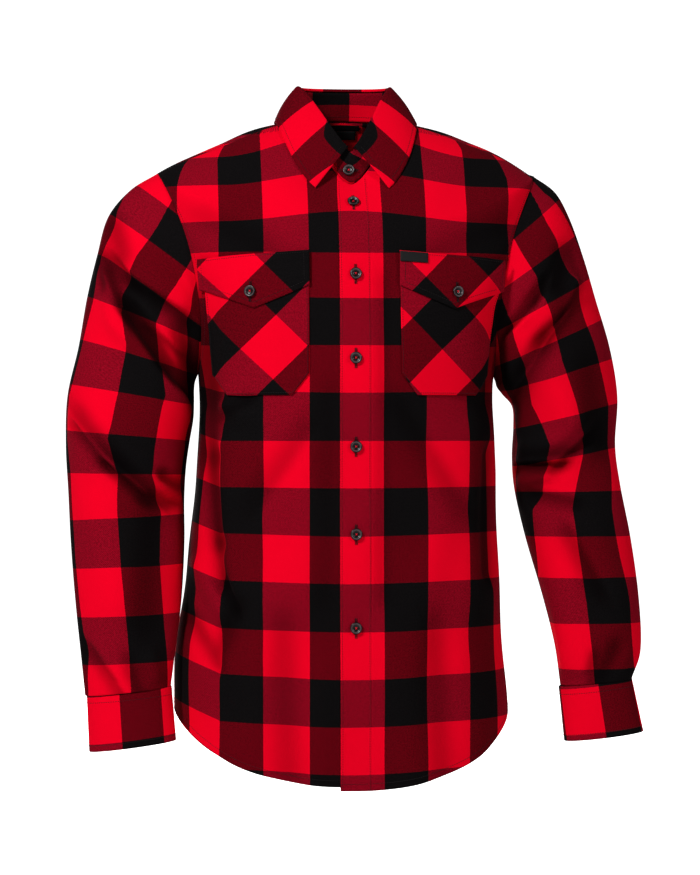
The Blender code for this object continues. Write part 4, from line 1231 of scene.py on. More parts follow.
@dataclass
class Patch:
    """A sampled piece of cloth.

    Attributes:
        points: Outer points, rows by columns, in millimetres.
        normals: Unit normals at them.
        flat: Place on the flat cut in millimetres, with one more column when closed.
        wall: Thickness.
        closed: True where the last column joins the first.
        shade: Light lost at each point, 0 to 1.
    """

    points: Array
    normals: Array
    flat: Array
    wall: float = WALL
    closed: bool = False
    shade: Array | None = None

    def seam(self, seam: Seam) -> Line:
        """Place a seam on the patch.

        Args:
            seam: The seam.

        Returns:
            Its points and normals.
        """
        points, normals = self.points, self.normals
        if seam.inside:
            points, normals = points - normals * self.wall, -normals
        if seam.edge in (Edge.FIRST_COLUMN, Edge.LAST_COLUMN):
            points, normals = points.swapaxes(0, 1), normals.swapaxes(0, 1)
        if seam.edge in (Edge.LAST_ROW, Edge.LAST_COLUMN):
            points, normals = points[::-1], normals[::-1]
        reach = path_length(points, 0)
        at = np.arange(reach.shape[1])
        high = np.clip((reach < seam.inset).sum(axis=0), 1, len(reach) - 1)
        low = high - 1
        gap = reach[high, at] - reach[low, at]
        share = ((seam.inset - reach[low, at]) / gap)[:, None]
        span = slice(*(int(round(end * (len(at) - 1))) for end in seam.part))
        line, up = (
            grid[low, at] * (1 - share) + grid[high, at] * share
            for grid in (points, normals)
        )
        return Line(line[span], unit(up[span]))

    def size(self) -> tuple[float, float, float]:
        """Measure the cut.

        Returns:
            Its greatest width, its greatest length and its area, in metres.
        """
        points = self.points
        if self.closed:
            points = np.concatenate((points, points[:, :1]), axis=1)
        across, down = np.diff(points, axis=1)[:-1], np.diff(points, axis=0)[:, :-1]
        area = np.linalg.norm(np.cross(across, down), axis=-1).sum() * MM * MM
        wide = path_length(points, 1)[:, -1].max() * MM
        return float(wide), float(path_length(points, 0)[-1].max() * MM), float(area)

    def rounded(self, grid: Array) -> Array:
        """Grid with one more point round each open edge.

        Args:
            grid: A value or point for each place.

        Returns:
            The larger grid.
        """
        grid = np.concatenate((grid[:1], grid, grid[-1:]))
        if not self.closed:
            grid = np.concatenate((grid[:, :1], grid, grid[:, -1:]), axis=1)
        return grid

    def edge_points(self) -> Array:
        """Middle points pushed nearly half a wall out, for the rounded edges.

        Returns:
            A grid with one more point round each open edge.
        """
        grid = self.rounded(self.points - self.normals * self.wall / 2)
        push = np.zeros_like(grid)
        push[0] = unit(grid[1] - grid[2])
        push[-1] = unit(grid[-2] - grid[-3])
        if not self.closed:
            push[:, 0] += unit(grid[:, 1] - grid[:, 2])
            push[:, -1] += unit(grid[:, -2] - grid[:, -3])
        return grid + push * self.wall * EDGE_BULGE

    def build(self, name: str, material: Material) -> Item:
        """Close the outer and inner faces into one shell with its UV map.

        Args:
            name: Name of the object.
            material: Its material.

        Returns:
            The new object.
        """
        outer = self.edge_points()
        rows, cols = outer.shape[:2]
        inside = np.zeros((rows, cols), bool)
        inside[1:-1, slice(None) if self.closed else slice(1, -1)] = True
        outer[inside] = self.points.reshape(-1, 3)
        inner = (self.points - self.normals * self.wall).reshape(-1, 3)
        vertices = np.concatenate((outer.reshape(-1, 3), inner)) * MM
        index = np.arange(rows * cols).reshape(rows, cols)
        under = index.copy()
        under[inside] = rows * cols + np.arange(len(inner))
        flat = self.rounded(self.flat)
        place = np.arange(rows * flat.shape[1]).reshape(rows, -1)
        if self.closed:
            index, under = (np.concatenate((g, g[:, :1]), axis=1) for g in (index, under))
        turn = np.cross(outer[1:, 0] - outer[:-1, 0], outer[1:, 1] - outer[1:, 0])[1:-1]
        flip = float((turn * self.normals[: len(turn), 0]).sum()) < 0
        faces = np.concatenate((self.quads(index, flip), self.quads(under, not flip)))
        flats = np.concatenate((self.quads(place, flip), self.quads(place, not flip)))
        corners = flat.reshape(-1, 2)[flats.ravel()] * MM
        item = make_mesh(name, vertices, faces, material, corners)
        if self.shade is not None:
            # Painted shade: the light lost at each point is stored so that the material
            # darkens the cloth there.
            edge = self.rounded(self.shade[..., None])
            add_shade(item, "painted_shade", np.concatenate((edge.ravel(), self.shade.ravel())))
        return item

    @staticmethod
    def quads(index: Array, flip: bool) -> Array:
        """Four corners of each cell, turned over where flip is set.

        Args:
            index: Number of the vertex at each place of a grid.
            flip: Whether to turn them over.

        Returns:
            One row of four numbers a cell.
        """
        corners = (index[:-1, :-1], index[1:, :-1], index[1:, 1:], index[:-1, 1:])
        faces = np.stack(corners, -1).reshape(-1, 4)
        return faces[:, ::-1] if flip else faces


def make_mesh(
    name: str, vertices: Array, faces: Array, material: Material,
    flat: Array | None = None,
) -> Item:
    """Smooth-shaded object from whole arrays of points and same-sized faces.

    Args:
        name: Name of the object.
        vertices: Points in metres.
        faces: Indices, one row a face.
        material: Its material.
        flat: UV of every face corner, in metres.

    Returns:
        The new object.
    """
    mesh = bpy.data.meshes.new(name)
    count, sides = faces.shape
    mesh.vertices.add(len(vertices))
    mesh.vertices.foreach_set("co", np.ascontiguousarray(vertices, np.float32).ravel())
    mesh.loops.add(count * sides)
    mesh.loops.foreach_set("vertex_index", np.ascontiguousarray(faces, np.int32).ravel())
    mesh.polygons.add(count)
    mesh.polygons.foreach_set("loop_start", np.arange(count, dtype=np.int32) * sides)
    if flat is not None:
        layer = mesh.uv_layers.new(name="Cloth")
        layer.data.foreach_set("uv", np.ascontiguousarray(flat, np.float32).ravel())
    mesh.update(calc_edges=True)
    mesh.validate()
    mesh.shade_smooth()
    mesh.materials.append(material)
    item = bpy.data.objects.new(name, mesh)
    bpy.context.scene.collection.objects.link(item)
    return item


def add_shade(item: Item, name: str, values: Array) -> None:
    """Store one number a point, which a material reads by its name."""
    layer = item.data.attributes.new(name, "FLOAT", "POINT")
    layer.data.foreach_set("value", np.asarray(values, np.float32))


def shown(item: Item, node: str) -> Item:
    """Let a finished piece stand for its solid and ride on the one body.

    Args:
        item: The piece.
        node: The solid that it replaces.

    Returns:
        The piece.
    """
    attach(item, "root")
    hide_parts(node)
    return item


@dataclass(frozen=True)
class Sewing:
    """Rows of lock stitches, each a short arc of thread that dips into the cloth.

    The thread is drawn about twice as thick as real, so that its rows show.

    Attributes:
        lines: The rows.
        pitch: From one stitch to the next.
        share: The part of the pitch that a stitch covers.
        radius: Half the thread's thickness.
    """

    lines: tuple[Line, ...]
    pitch: float = 2.9
    share: float = 0.78
    radius: float = 0.34

    def stitches(self, line: Line) -> Array:
        """Make every stitch of a line as three rings: its two ends and its crown.

        Args:
            line: The row.

        Returns:
            12 points for each stitch.
        """
        reach = path_length(line.points[:, None], 0)[:, 0]
        last = max(reach[-1] - self.pitch / 2, self.pitch)
        middle = np.arange(self.pitch / 2, last, self.pitch)
        half = self.pitch * self.share / 2
        ends = ((line.points, middle - half), (line.points, middle + half))
        start, end, up = (
            np.stack([np.interp(at, reach, column) for column in values.T], -1)
            for values, at in (*ends, (line.normals, middle))
        )
        up = unit(up)
        side = unit(np.cross(end - start, up))
        rings = []
        arc = ((start, -0.5, 0.5), ((start + end) / 2, 0.6, 1.0), (end, -0.5, 0.5))
        for centre, lift, radius in arc:
            for a, b in ((1, 0), (0, 1), (-1, 0), (0, -1)):
                raised = up * (lift + b * radius) * self.radius
                rings.append(centre + raised + side * a * radius * self.radius)
        return np.stack(rings, 1).reshape(-1, 3)

    def build(self, name: str, material: Material) -> Item:
        """Make all the rows as one object that rides on the body.

        Args:
            name: Name of the object.
            material: The thread's material.

        Returns:
            The new object.
        """
        points = np.concatenate([self.stitches(line) for line in self.lines])
        cell = [(0, 1, 2, 3), (11, 10, 9, 8)]
        for ring in (0, 4):
            for a, b in ((0, 1), (1, 2), (2, 3), (3, 0)):
                cell.append((ring + a, ring + a + 4, ring + b + 4, ring + b))
        start = np.arange(0, len(points), 12)[:, None, None]
        faces = (start + np.array(cell)[None]).reshape(-1, 4)
        item = make_mesh(name, points * MM, faces, material)
        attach(item, "root")
        return item


@dataclass
class Cut:
    """One cut and sewn piece: its shell, how it is held and its rows of stitches."""

    node: str
    patch: Patch
    held: Hold
    seams: tuple[Seam, ...] = ()
    finish: str = "flannel"

    def build(self, finishes: Finishes) -> Item:
        """Make the shell that stands for the solid.

        Args:
            finishes: The materials.

        Returns:
            The shell.
        """
        item = self.patch.build("shown_" + self.node, getattr(finishes, self.finish))
        return shown(item, self.node)

    def dress(self, item: Item, finishes: Finishes) -> None:
        """Args:
            item: The shell; not used.
            finishes: The materials.
        """
        if self.seams:
            lines = tuple(self.patch.seam(seam) for seam in self.seams)
            Sewing(lines).build("stitches_" + self.node, finishes.thread)
        wide, long, area = self.patch.size()
        LOG.info("sheet %s: %.3f x %.3f m, %.4f m2", self.node, wide, long, area)


class Part:
    """A sub-assembly: it builds the shells of its cuts, then dresses them."""

    finishes: Finishes

    def cuts(self) -> list[Cut]:
        """The pieces of cloth."""
        raise NotImplementedError

    def build(self) -> None:
        """Make the shells."""
        self.made = [(cut, cut.build(self.finishes)) for cut in self.cuts()]

    def dress(self) -> None:
        for cut, item in self.made:
            cut.dress(item, self.finishes)


# ================================================================ panels
# Distance of the stitches from an edge.
HEM_INSET, ARMHOLE_INSET, EDGE_INSET = 7.5, 6.0, 2.0


class Rows(NamedTuple):
    """A panel's rows below, along and above the armhole.

    Attributes:
        low: Cells from the hem to the armpit.
        hole: Cells along the armhole.
        top: Cells from the shoulder to the neck.
        first: Turn on the armhole where its part starts.
        last: Turn where it ends.
    """

    low: int
    hole: int
    top: int
    first: float
    last: float

    def levels(self) -> Array:
        """v of every row, close together where the armhole turns.

        Returns:
            The heights, one a row.
        """
        low = np.linspace(0, V_ARMPIT, self.low + 1)[:-1]
        hole = BODY.armhole(np.linspace(self.first, self.last, self.hole + 1))[1]
        top = np.linspace(V_SHOULDER, 1, self.top + 1)[1:]
        return np.concatenate((low, hole, top))[:, None]

    def parts(self) -> tuple[tuple[float, float], tuple[float, float]]:
        """Shares of the side's edge along the armhole, and above it.

        Returns:
            Where each of the two stretches starts and ends.
        """
        count = self.low + self.hole + self.top
        start, end = self.low / count, (self.low + self.hole) / count
        return (start, end), (end, 1.0)


# Lengths of a panel's side below the armhole, along its front, along its back up to the
# yoke, along its yoke and above it.
BELOW, HOLE_FRONT, HOLE_BACK, HOLE_YOKE, ABOVE = 490, 260, 190, 70, 150
FRONT_ROWS = Rows(*(steps_for(run, FINE) for run in (BELOW, HOLE_FRONT, ABOVE)), 180, 0)
BACK_ROWS = Rows(steps_for(BELOW), steps_for(HOLE_BACK), 0, 180, BACK_SEAM_TURN)
YOKE_ROWS = Rows(0, steps_for(HOLE_YOKE), steps_for(ABOVE), BACK_SEAM_TURN, 360)


def line_number(z: Array, share: Array, lines: tuple) -> Array:
    """Number of the level line through each point, read by halving its range.

    Args:
        z: Height of the points.
        share: 0 where the first table of heights holds, 1 where the second does.
        lines: The two tables.

    Returns:
        The number, with the point's share of the way to the next line.
    """
    first, second = (np.asarray(row, float) for row in lines)
    knots = np.arange(len(first))
    low, high = np.zeros(z.shape), np.full(z.shape, len(first) - 1.0)
    for _ in range(HALVINGS):
        middle = (low + high) / 2
        here = np.interp(middle, knots, first) * (1 - share)
        above = z > here + np.interp(middle, knots, second) * share
        high, low = np.where(above, middle, high), np.where(above, low, middle)
    return (low + high) / 2


@dataclass
class Torso(Part):
    """Fronts, placket, back and yoke."""

    finishes: Finishes
    left_width: float = 255.0
    right_width: float = 285.0
    band_width: tuple[float, float] = (36.0, 2.0)   # and the spacing of its points
    back_width: float = 520.0
    back_along: float = -23.8    # length on the flat where a red row starts
    yoke_along: float = 160.0
    flat: FlatBody = field(default_factory=FlatBody)

    def upper_front(self) -> Patch:
        """The wearer's left front, which settles onto the body beyond the placket.

        Returns:
            The patch.
        """
        v = FRONT_ROWS.levels()
        start, end = BODY.front_angle(PLACKET_X[1], v), BODY.side_angle(v, -ARMHOLE_FRONT)
        angle, v = spread(start + (end - start) * shares(self.left_width, FINE), v)
        beyond = (BODY.base(angle, v)[..., 0] - PLACKET_X[1]) / (LIFT_END - PLACKET_X[1])
        return self.front(angle, v, LAP * (1 - fade(beyond)), 1)

    def under_front(self) -> Patch:
        """The wearer's right front, which passes under the placket.

        Returns:
            The patch.
        """
        v = np.maximum(FRONT_ROWS.levels(), UNDER_HEM)
        start, end = BODY.front_angle(UNDER_END_X, v), -BODY.side_angle(v, -ARMHOLE_FRONT)
        return self.front(end + (start - end) * shares(self.right_width, FINE), v, 0.0, -1)

    def placket(self) -> Patch:
        """The buttonhole band, one layer proud of the under front.

        Returns:
            The patch.
        """
        width, spacing = self.band_width
        x = np.linspace(*PLACKET_X, steps_for(width, spacing) + 1)
        v = FRONT_ROWS.levels()
        return self.front(BODY.front_angle(x, v), v, LAP, 1)

    def front(self, angle: Array, v: Array, lift: Array | float, side: int) -> Patch:
        """A patch on the fronts.

        Args:
            angle: Angle of its points.
            v: Their height.
            lift: How far they stand off the body.
            side: The side whose check it has.

        Returns:
            The patch.
        """
        angle, v = spread(angle, v)
        normals = BODY.normal(angle, v)
        points = BODY.point(angle, v) + normals * np.asarray(lift)[..., None]
        flat = self.place(points, angle, v, side)
        return Patch(points, normals, flat, shade=BODY.shade(angle, v))

    def place(self, points: Array, angle: Array, v: Array, side: int) -> Array:
        """Flat places on a front: by tables where it faces ahead, by girth round its side.

        Args:
            points: The points.
            angle: Their angle.
            v: Their height.
            side: The front's side.

        Returns:
            Place across and along the cut.
        """
        limit = FRONT_TURN + (CHEST_TURN - FRONT_TURN) * fade((v - V_ARMPIT) / 0.1)
        ahead = np.clip(angle, -limit, limit)
        warps = HALVES[side].front_warps
        across = np.interp(BODY.base(ahead, v)[..., 0], warps, np.arange(len(warps)) * WARP)
        around = self.flat.read(angle, v)[0] - self.flat.read(ahead, v)[0]
        x, z = points[..., 0], points[..., 2]
        below = fade((V_ARMPIT + 0.06 - v) / 0.1)
        rise = SIDE_RISE * np.maximum(-SIDE_RISE_FROM - x, 0) * below
        line = line_number(z - rise, fade(np.abs(x) / FLAT_AHEAD), FRONT_LINES)
        return np.stack((across + around, (line - FRONT_RED_LINE) * WEFT), -1)

    def behind(self, v: Array, along: float) -> Patch:
        """A patch round the back between both sides' seams.

        Args:
            v: Heights of its rows.
            along: Length where a red row starts; a red stripe runs down the middle.

        Returns:
            The patch.
        """
        side = BODY.side_angle(v, ARMHOLE_BACK)
        angle, v = spread(side + (360 - 2 * side) * shares(self.back_width), v)
        girth, length = self.flat.read(angle, v)
        middle = self.flat.read(180 + 0 * angle, v)[0]
        flat = np.stack((girth - middle + WARP / 2, length - along), -1)
        points, normals = BODY.point(angle, v), BODY.normal(angle, v)
        return Patch(points, normals, flat, shade=BODY.shade(angle, v))

    def cuts(self) -> list[Cut]:
        """The five panels.

        Returns:
            The cuts, from the first sewn to the last.
        """
        hem = Seam(Edge.FIRST_ROW, HEM_INSET)
        hole, back_hole = FRONT_ROWS.parts()[0], BACK_ROWS.parts()[0]
        yoke_hole, yoke_front = YOKE_ROWS.parts()
        left_seams = (hem, Seam(Edge.LAST_COLUMN, ARMHOLE_INSET, hole))
        right_seams = (hem, Seam(Edge.FIRST_COLUMN, ARMHOLE_INSET, hole))
        yoke_seams = (
            Seam(Edge.FIRST_ROW, EDGE_INSET),
            *on_sides(ARMHOLE_INSET, yoke_hole), *on_sides(EDGE_INSET, yoke_front),
        )
        back = self.behind(BACK_ROWS.levels(), self.back_along)
        yoke = self.behind(YOKE_ROWS.levels(), self.yoke_along)
        return [
            Cut("front_left", self.upper_front(), Hold.HUNG, left_seams),
            Cut("front_right", self.under_front(), Hold.HUNG, right_seams),
            Cut("placket", self.placket(), Hold.HUNG, (*on_sides(EDGE_INSET), hem)),
            Cut("back", back, Hold.HUNG, (hem, *on_sides(ARMHOLE_INSET, back_hole))),
            Cut("yoke", yoke, Hold.DRAPED, yoke_seams),
        ]


@dataclass
class Arm(Part):
    """One sleeve with its slit's band and its cuff."""

    side: int
    finishes: Finishes
    girth: float = 400.0
    length: float = 600.0
    band: tuple[float, float] = (150.0, 2.5)        # length, and spacing of its points
    cuff_size: tuple[float, float] = (250.0, 66.0)  # girth and height
    apart: float = 8.0    # least turn between the sleeve's warp lines

    def stripe(self, turn: Array, u: Array, smooth: Array) -> Array:
        """Count the warp stripes round the sleeve.

        Args:
            turn: Turn of the points.
            u: Their share of the length.
            smooth: The smooth surface's points.

        Returns:
            The number of each point's stripe, with its share of the way across.
        """
        out_x, _, in_x, _, _, _ = columns(HALVES[self.side].rings, u)
        rows = np.array(HALVES[self.side].warps, float)
        ways = []
        for line in rows[:, 1:].T:
            inward = np.interp(smooth[..., 2], rows[:, 0], line) - in_x
            cosine = np.clip(inward / ((out_x - in_x) / 2) - 1, -1, 1)
            ways.append(np.degrees(np.arccos(cosine)))
        outer = ways[0]
        middle = np.maximum(ways[1], outer + self.apart)
        inner = np.maximum(ways[2], ways[1] + 2 * self.apart)
        hidden = HIDDEN_STRIPES / (360 + outer - inner)
        return np.select(
            (turn < outer, turn < np.minimum(middle, inner), turn < inner),
            (
                (turn - outer) * hidden,
                (turn - outer) / (middle - outer),
                1 + (turn - middle) / (inner - middle),
            ),
            2 + (turn - inner) * hidden,
        )

    def sleeve(self) -> Patch:
        """The sleeve's shell, a closed tube.

        Returns:
            The patch.
        """
        form = Sleeve(self.side)
        turn, u = spread(360 * shares(self.girth, FINE), shares(self.length, FINE)[:, None])
        points, smooth = form.point(turn, u), form.base(turn, u)
        outer, inner = SLEEVE_LINE_X
        share = (outer - np.abs(smooth[..., 0])) / (outer - inner)
        line = line_number(smooth[..., 2], share, HALVES[self.side].lines) - SLEEVE_RED_LINE
        stripe = self.stripe(turn, u, smooth) + (self.side > 0)
        flat = np.stack((stripe * WARP, line * WEFT), -1)
        normals, shade = form.normal(turn, u)[:, :-1], form.shade(turn, u)[:, :-1]
        return Patch(points[:, :-1], normals, flat, closed=True, shade=shade)

    def slit_band(self) -> Patch:
        """The band beside the slit, pointed at its top.

        Returns:
            The patch.
        """
        form = Sleeve(self.side)
        s, t = np.linspace(-1, 1, 13), shares(*self.band)[:, None]
        turn = SLIT_MIDDLE + SLIT_HALF * s * np.minimum(1, 0.1 + 6 * t)
        u = SLIT_TOP + (SLIT_LOW - SLIT_TOP) * np.maximum(t, 0.09 * np.abs(s) * (t > 0))
        normals = form.normal(turn, u)
        points = form.point(turn, u) + normals * (LIE + WALL)
        flat = np.stack((path_length(points, 1), -path_length(points, 0)), -1)
        return Patch(points, normals, flat)

    def cuff(self) -> Patch:
        """The cuff, whose last end laps its first.

        Returns:
            The patch.
        """
        form, (girth, height) = Cuff(self.side), self.cuff_size
        end = CUFF_OPENING + 360 + CUFF_LAP
        turn = np.linspace(CUFF_OPENING, end, steps_for(girth) + 1)
        turn, t = spread(turn, shares(height)[:, None])
        normals = form.normal(turn, t)
        points = form.point(turn, t) + normals * form.layer(turn)[..., None]
        around, down = path_length(points, 1), path_length(points, 0)
        front = np.argmin(np.abs(turn[0] - 450))
        around = around - around[:, front : front + 1] - HALVES[self.side].cuff_across
        up = down[-1:] - down - HALVES[self.side].cuff_along
        return Patch(points, normals, np.stack((around, up), -1))

    def cuts(self) -> list[Cut]:
        """The three pieces.

        Returns:
            The cuts, from the first sewn to the last.
        """
        hand, band = HALVES[self.side].hand, self.slit_band()
        ends = (Seam(Edge.FIRST_ROW, 9.0), Seam(Edge.LAST_ROW, 6.5))
        cuff_seams = (*ends, *on_sides(5.0, (0.1, 0.9)))
        return [
            Cut("sleeve_" + hand, self.sleeve(), Hold.HUNG),
            Cut("sleeve_placket_" + hand, band, Hold.LAID, on_sides(EDGE_INSET)),
            Cut("cuff_" + hand, self.cuff(), Hold.HUNG, cuff_seams),
        ]


@dataclass
class Neck(Part):
    """The collar's stand and leaf, with the loop and the bare label inside."""

    finishes: Finishes
    stand_length: float = 430.0
    leaf_length: float = 440.0
    spacing: float = 2.5
    stand_start: tuple[float, float] = (59.2, 75.0)  # flat place of a red stripe's start
    stand_turn: float = 50.5     # how far its check shifts from the back to the front
    end_round: float = 5.0       # angle over which its ends round off
    leaf_start: tuple[float, float] = (40.5, 4.0)    # flat place of the leaf's tip
    bend: float = 0.28           # how its rows climb and gather behind the tips
    lean_end: float = 60.0       # distance from a tip where its stripes stop leaning
    step: float = 8.0            # how far they step over beyond the tip
    rear_start: float = 100.0    # distance from a tip where the check starts to shift
    behind_shift: float = 42.0   # how far it has shifted in the back's middle

    def stand(self) -> Patch:
        """The band round the neck, with rounded front ends.

        Returns:
            The patch.
        """
        steps = steps_for(self.stand_length, self.spacing)
        angle = np.linspace(STAND_OVERLAP, -360 - STAND_OVERLAP, steps + 1)[None, :]
        t = np.linspace(0, 1, 17)[:, None]
        end = np.minimum(angle - angle[0, -1], angle[0, 0] - angle) / self.end_round
        t = 0.5 + (t - 0.5) * np.maximum(np.sqrt(np.clip(end, 0, 1)), 0.45)
        angle, t = spread(angle, t)
        normals = COLLAR.stand_normal(angle, t)
        layer = COLLAR.stand_layer(angle)
        points = COLLAR.stand(angle, t) + normals * (layer + 0.3)[..., None]
        foot = (STAND_FOOT + layer[0] * 0.7) * (1 - t / np.maximum(t[-1:], 0.1)) ** 2
        points = points + unit(points[1:2] - points[:1]) * foot[..., None]
        around, up = path_length(points, 1), path_length(points, 0)
        behind = np.argmin(np.abs(angle[0] + 180))
        around = around - around[:, behind : behind + 1]
        turned = self.stand_turn * np.clip((np.abs(around) - 80) / 150, 0, 1)
        across, along = self.stand_start
        flat = np.stack((across - around + turned, up - along), -1)
        return Patch(points, normals, flat, wall=STAND_WALL)

    def leaf(self) -> Patch:
        """The turned-down leaf with its two points.

        Returns:
            The patch.
        """
        roll, fall = np.linspace(0, ROLL_END, 9)[:-1], np.linspace(ROLL_END, 1, 27)
        place = np.linspace(-1, 1, steps_for(self.leaf_length, self.spacing) + 1)
        place, t = spread(place, np.concatenate((roll, fall))[:, None])
        points = COLLAR.leaf(place, t)
        around, down = path_length(points, 1), path_length(points, 0)
        from_tip = np.minimum(around[-1], around[-1, -1] - around[-1])
        height = down[-1:] - down
        lean = self.bend * height * (1 - fade(from_tip / self.lean_end))
        lean = lean + (self.step + self.bend / 2 * height) * fade((from_tip - 15) / 30)
        behind = from_tip - self.rear_start
        rear = np.clip(behind / (from_tip.max() - self.rear_start), 0, 1)
        across = from_tip + lean - self.behind_shift * rear + self.leaf_start[0]
        along = height * (1 - self.bend * fade((from_tip - 26) / 24)) + self.leaf_start[1]
        return Patch(points, COLLAR.leaf_normal(place, t), np.stack((across, along), -1))

    def strip(self, width: float, top: float, drop: float) -> Patch:
        """A flat strip sewn inside the back of the neck.

        Args:
            width: Its width.
            top: How far below the neck seam it starts.
            drop: Its height.

        Returns:
            The patch.
        """
        x = width * (shares(width, 2.0) - 0.5)
        x, down = spread(x, top + drop * shares(drop, 2.0)[:, None])
        span = np.linalg.norm(BODY.base(180, 1.0) - BODY.base(180, 0.98))
        v = 1 - down * 0.02 / span
        angle = 180 - np.degrees(np.arctan2(x, BODY.ring(v).back))
        normals = BODY.normal(angle, v)
        points = BODY.point(angle, v) - normals * (WALL + LIE)
        # The check's offsets put the hanger loop wholly on one black square, dark as
        # painted shade for the inside of the neck.
        return Patch(points, normals, np.stack((x + 76, 82 - down), -1), wall=THIN)

    def cuts(self) -> list[Cut]:
        """The four pieces.

        Returns:
            The cuts, from the first sewn to the last.
        """
        stand_seams = (
            Seam(Edge.FIRST_ROW, 3.0, (0.01, 0.99)),
            Seam(Edge.FIRST_ROW, 5.0, (0.1, 0.9), inside=True),
            Seam(Edge.LAST_ROW, 3.0, (0.01, 0.06)), Seam(Edge.LAST_ROW, 3.0, (0.94, 0.99)),
        )
        leaf_seams = (Seam(Edge.LAST_ROW, 6.0, (0.025, 0.975)), *on_sides(6.0, (0.3, 0.86)))
        loop = self.strip(LOOP_WIDTH, 1.5, LOOP_DROP)
        label = self.strip(LABEL_WIDTH, 2.5 + LOOP_DROP, LABEL_DROP)
        return [
            Cut("collar_stand", self.stand(), Hold.DRAPED, stand_seams),
            Cut("collar_leaf", self.leaf(), Hold.FOLDED, leaf_seams),
            Cut("hanger_loop", loop, Hold.LAID),
            Cut("neck_label", label, Hold.LAID, finish="woven"),
        ]


@dataclass
class ChestPocket(Part):
    """A patch pocket cut on the bias, under a pointed flap."""

    side: int
    finishes: Finishes

    def on_front(self, x: Array, z: Array, height: Array) -> tuple[Array, Array]:
        """Place points above the front.

        Args:
            x: Their x, measured on the +X side.
            z: Their z.
            height: How far they stand off the body.

        Returns:
            The points and the normals there.
        """
        angle, v = BODY.locate(x, z)
        normals = BODY.normal(self.side * angle, v)
        points = BODY.point(self.side * angle, v)
        return points + normals * np.asarray(height)[..., None], normals

    def stand_off(self, s: Array) -> Array:
        """How far the pocket stands off towards its outer edge."""
        return POCKET.stand_off * fade((s - 0.5) / 0.4)

    def pocket(self) -> Patch:
        """The pocket with its two cut-off corners.

        Returns:
            The patch.
        """
        cut = POCKET
        ends = np.linspace(0, cut.corner, 9)[:-1]
        middle = np.linspace(cut.corner, 1 - cut.corner, 28)
        s = np.concatenate((ends, middle, 1 - ends[::-1]))
        corner = np.clip(np.maximum(1 - s / cut.corner, 1 - (1 - s) / cut.corner), 0, 1)
        s, t = spread(s, shares(POCKET_LONG)[:, None] * (1 - cut.rise * corner))
        outer = cut.outer_top + (cut.outer_low - cut.outer_top) * t
        x = cut.inner + (outer - cut.inner) * s
        top = cut.top_in + (cut.top_out - cut.top_in) * s
        z = top + (cut.low - top) * t
        points, normals = self.on_front(x, z, LIE + WALL + self.stand_off(s))
        return Patch(points, normals, HALVES[self.side].pocket.flat(self.side * x, z))

    def flap_place(self, s: Array, t: Array) -> tuple[Array, Array]:
        """Find points on the flap, whose lower edge comes to a point in the middle.

        Args:
            s: Share of the width, from its inner edge.
            t: Share of the drop.

        Returns:
            Their x and z.
        """
        cut = POCKET
        wide = cut.outer_top - cut.inner + 2 * cut.overhang
        top = cut.flap_top_in + (cut.flap_top_out - cut.flap_top_in) * s
        point = 1 - np.abs(2 * s - 1)
        drop = (top - cut.flap_tip) * (cut.flap_side + (1 - cut.flap_side) * point)
        return cut.inner - cut.overhang + wide * s, top - drop * t

    def flap(self) -> Patch:
        """The pointed flap.

        Returns:
            The patch.
        """
        s = np.linspace(0, 1, steps_for(FLAP_WIDE) // 2 * 2 + 1)
        s, t = spread(s, shares(FLAP_LONG)[:, None])
        x, z = self.flap_place(s, t)
        points, normals = self.on_front(x, z, 2 * LIE + 2 * WALL + self.stand_off(s))
        return Patch(points, normals, HALVES[self.side].flap.flat(self.side * x, z))

    def tab(self) -> Patch:
        """The small bare woven tab at the flap's inner top corner.

        Returns:
            The patch.
        """
        s = np.linspace(0, TAB_WIDTH / (POCKET.outer_top - POCKET.inner), 12)
        s, t = spread(s, np.linspace(0.06, 1, 6)[:, None])
        x, top = self.flap_place(s, 0 * s)
        z = top - TAB_DROP * t
        points, normals = self.on_front(x, z, 3 * LIE + 2 * WALL + THIN)
        return Patch(points, normals, np.stack((x, z), -1), wall=THIN)

    def cuts(self) -> list[Cut]:
        """The pocket, its flap and, on the +X side, the tab.

        Returns:
            The cuts, from the first sewn to the last.
        """
        hand = HALVES[self.side].hand
        pocket_seams = (Seam(Edge.LAST_ROW, EDGE_INSET), *on_sides(EDGE_INSET))
        flap_seams = (
            Seam(Edge.FIRST_ROW, EDGE_INSET), Seam(Edge.LAST_ROW, 6.0, (0.05, 0.95)),
            *on_sides(6.0, (0.0, 0.9)),
        )
        found = [
            Cut("pocket_" + hand, self.pocket(), Hold.LAID, pocket_seams),
            Cut("flap_" + hand, self.flap(), Hold.LAID, flap_seams),
        ]
        if self.side > 0:
            found.append(Cut("flap_tab", self.tab(), Hold.LAID, finish="woven"))
        return found


# ================================================================ buttons
class Seat(NamedTuple):
    """Where a button sits and how its hole runs: 0 upright, 90 level."""

    node: str
    point: Array
    normal: Array
    hole: float
    size: float = 1.0

    def axes(self) -> tuple[Array, Array]:
        """The seat's rightward and upward directions."""
        right = unit(np.cross((0.0, 0.0, 1.0), self.normal))
        return right, np.cross(self.normal, right)


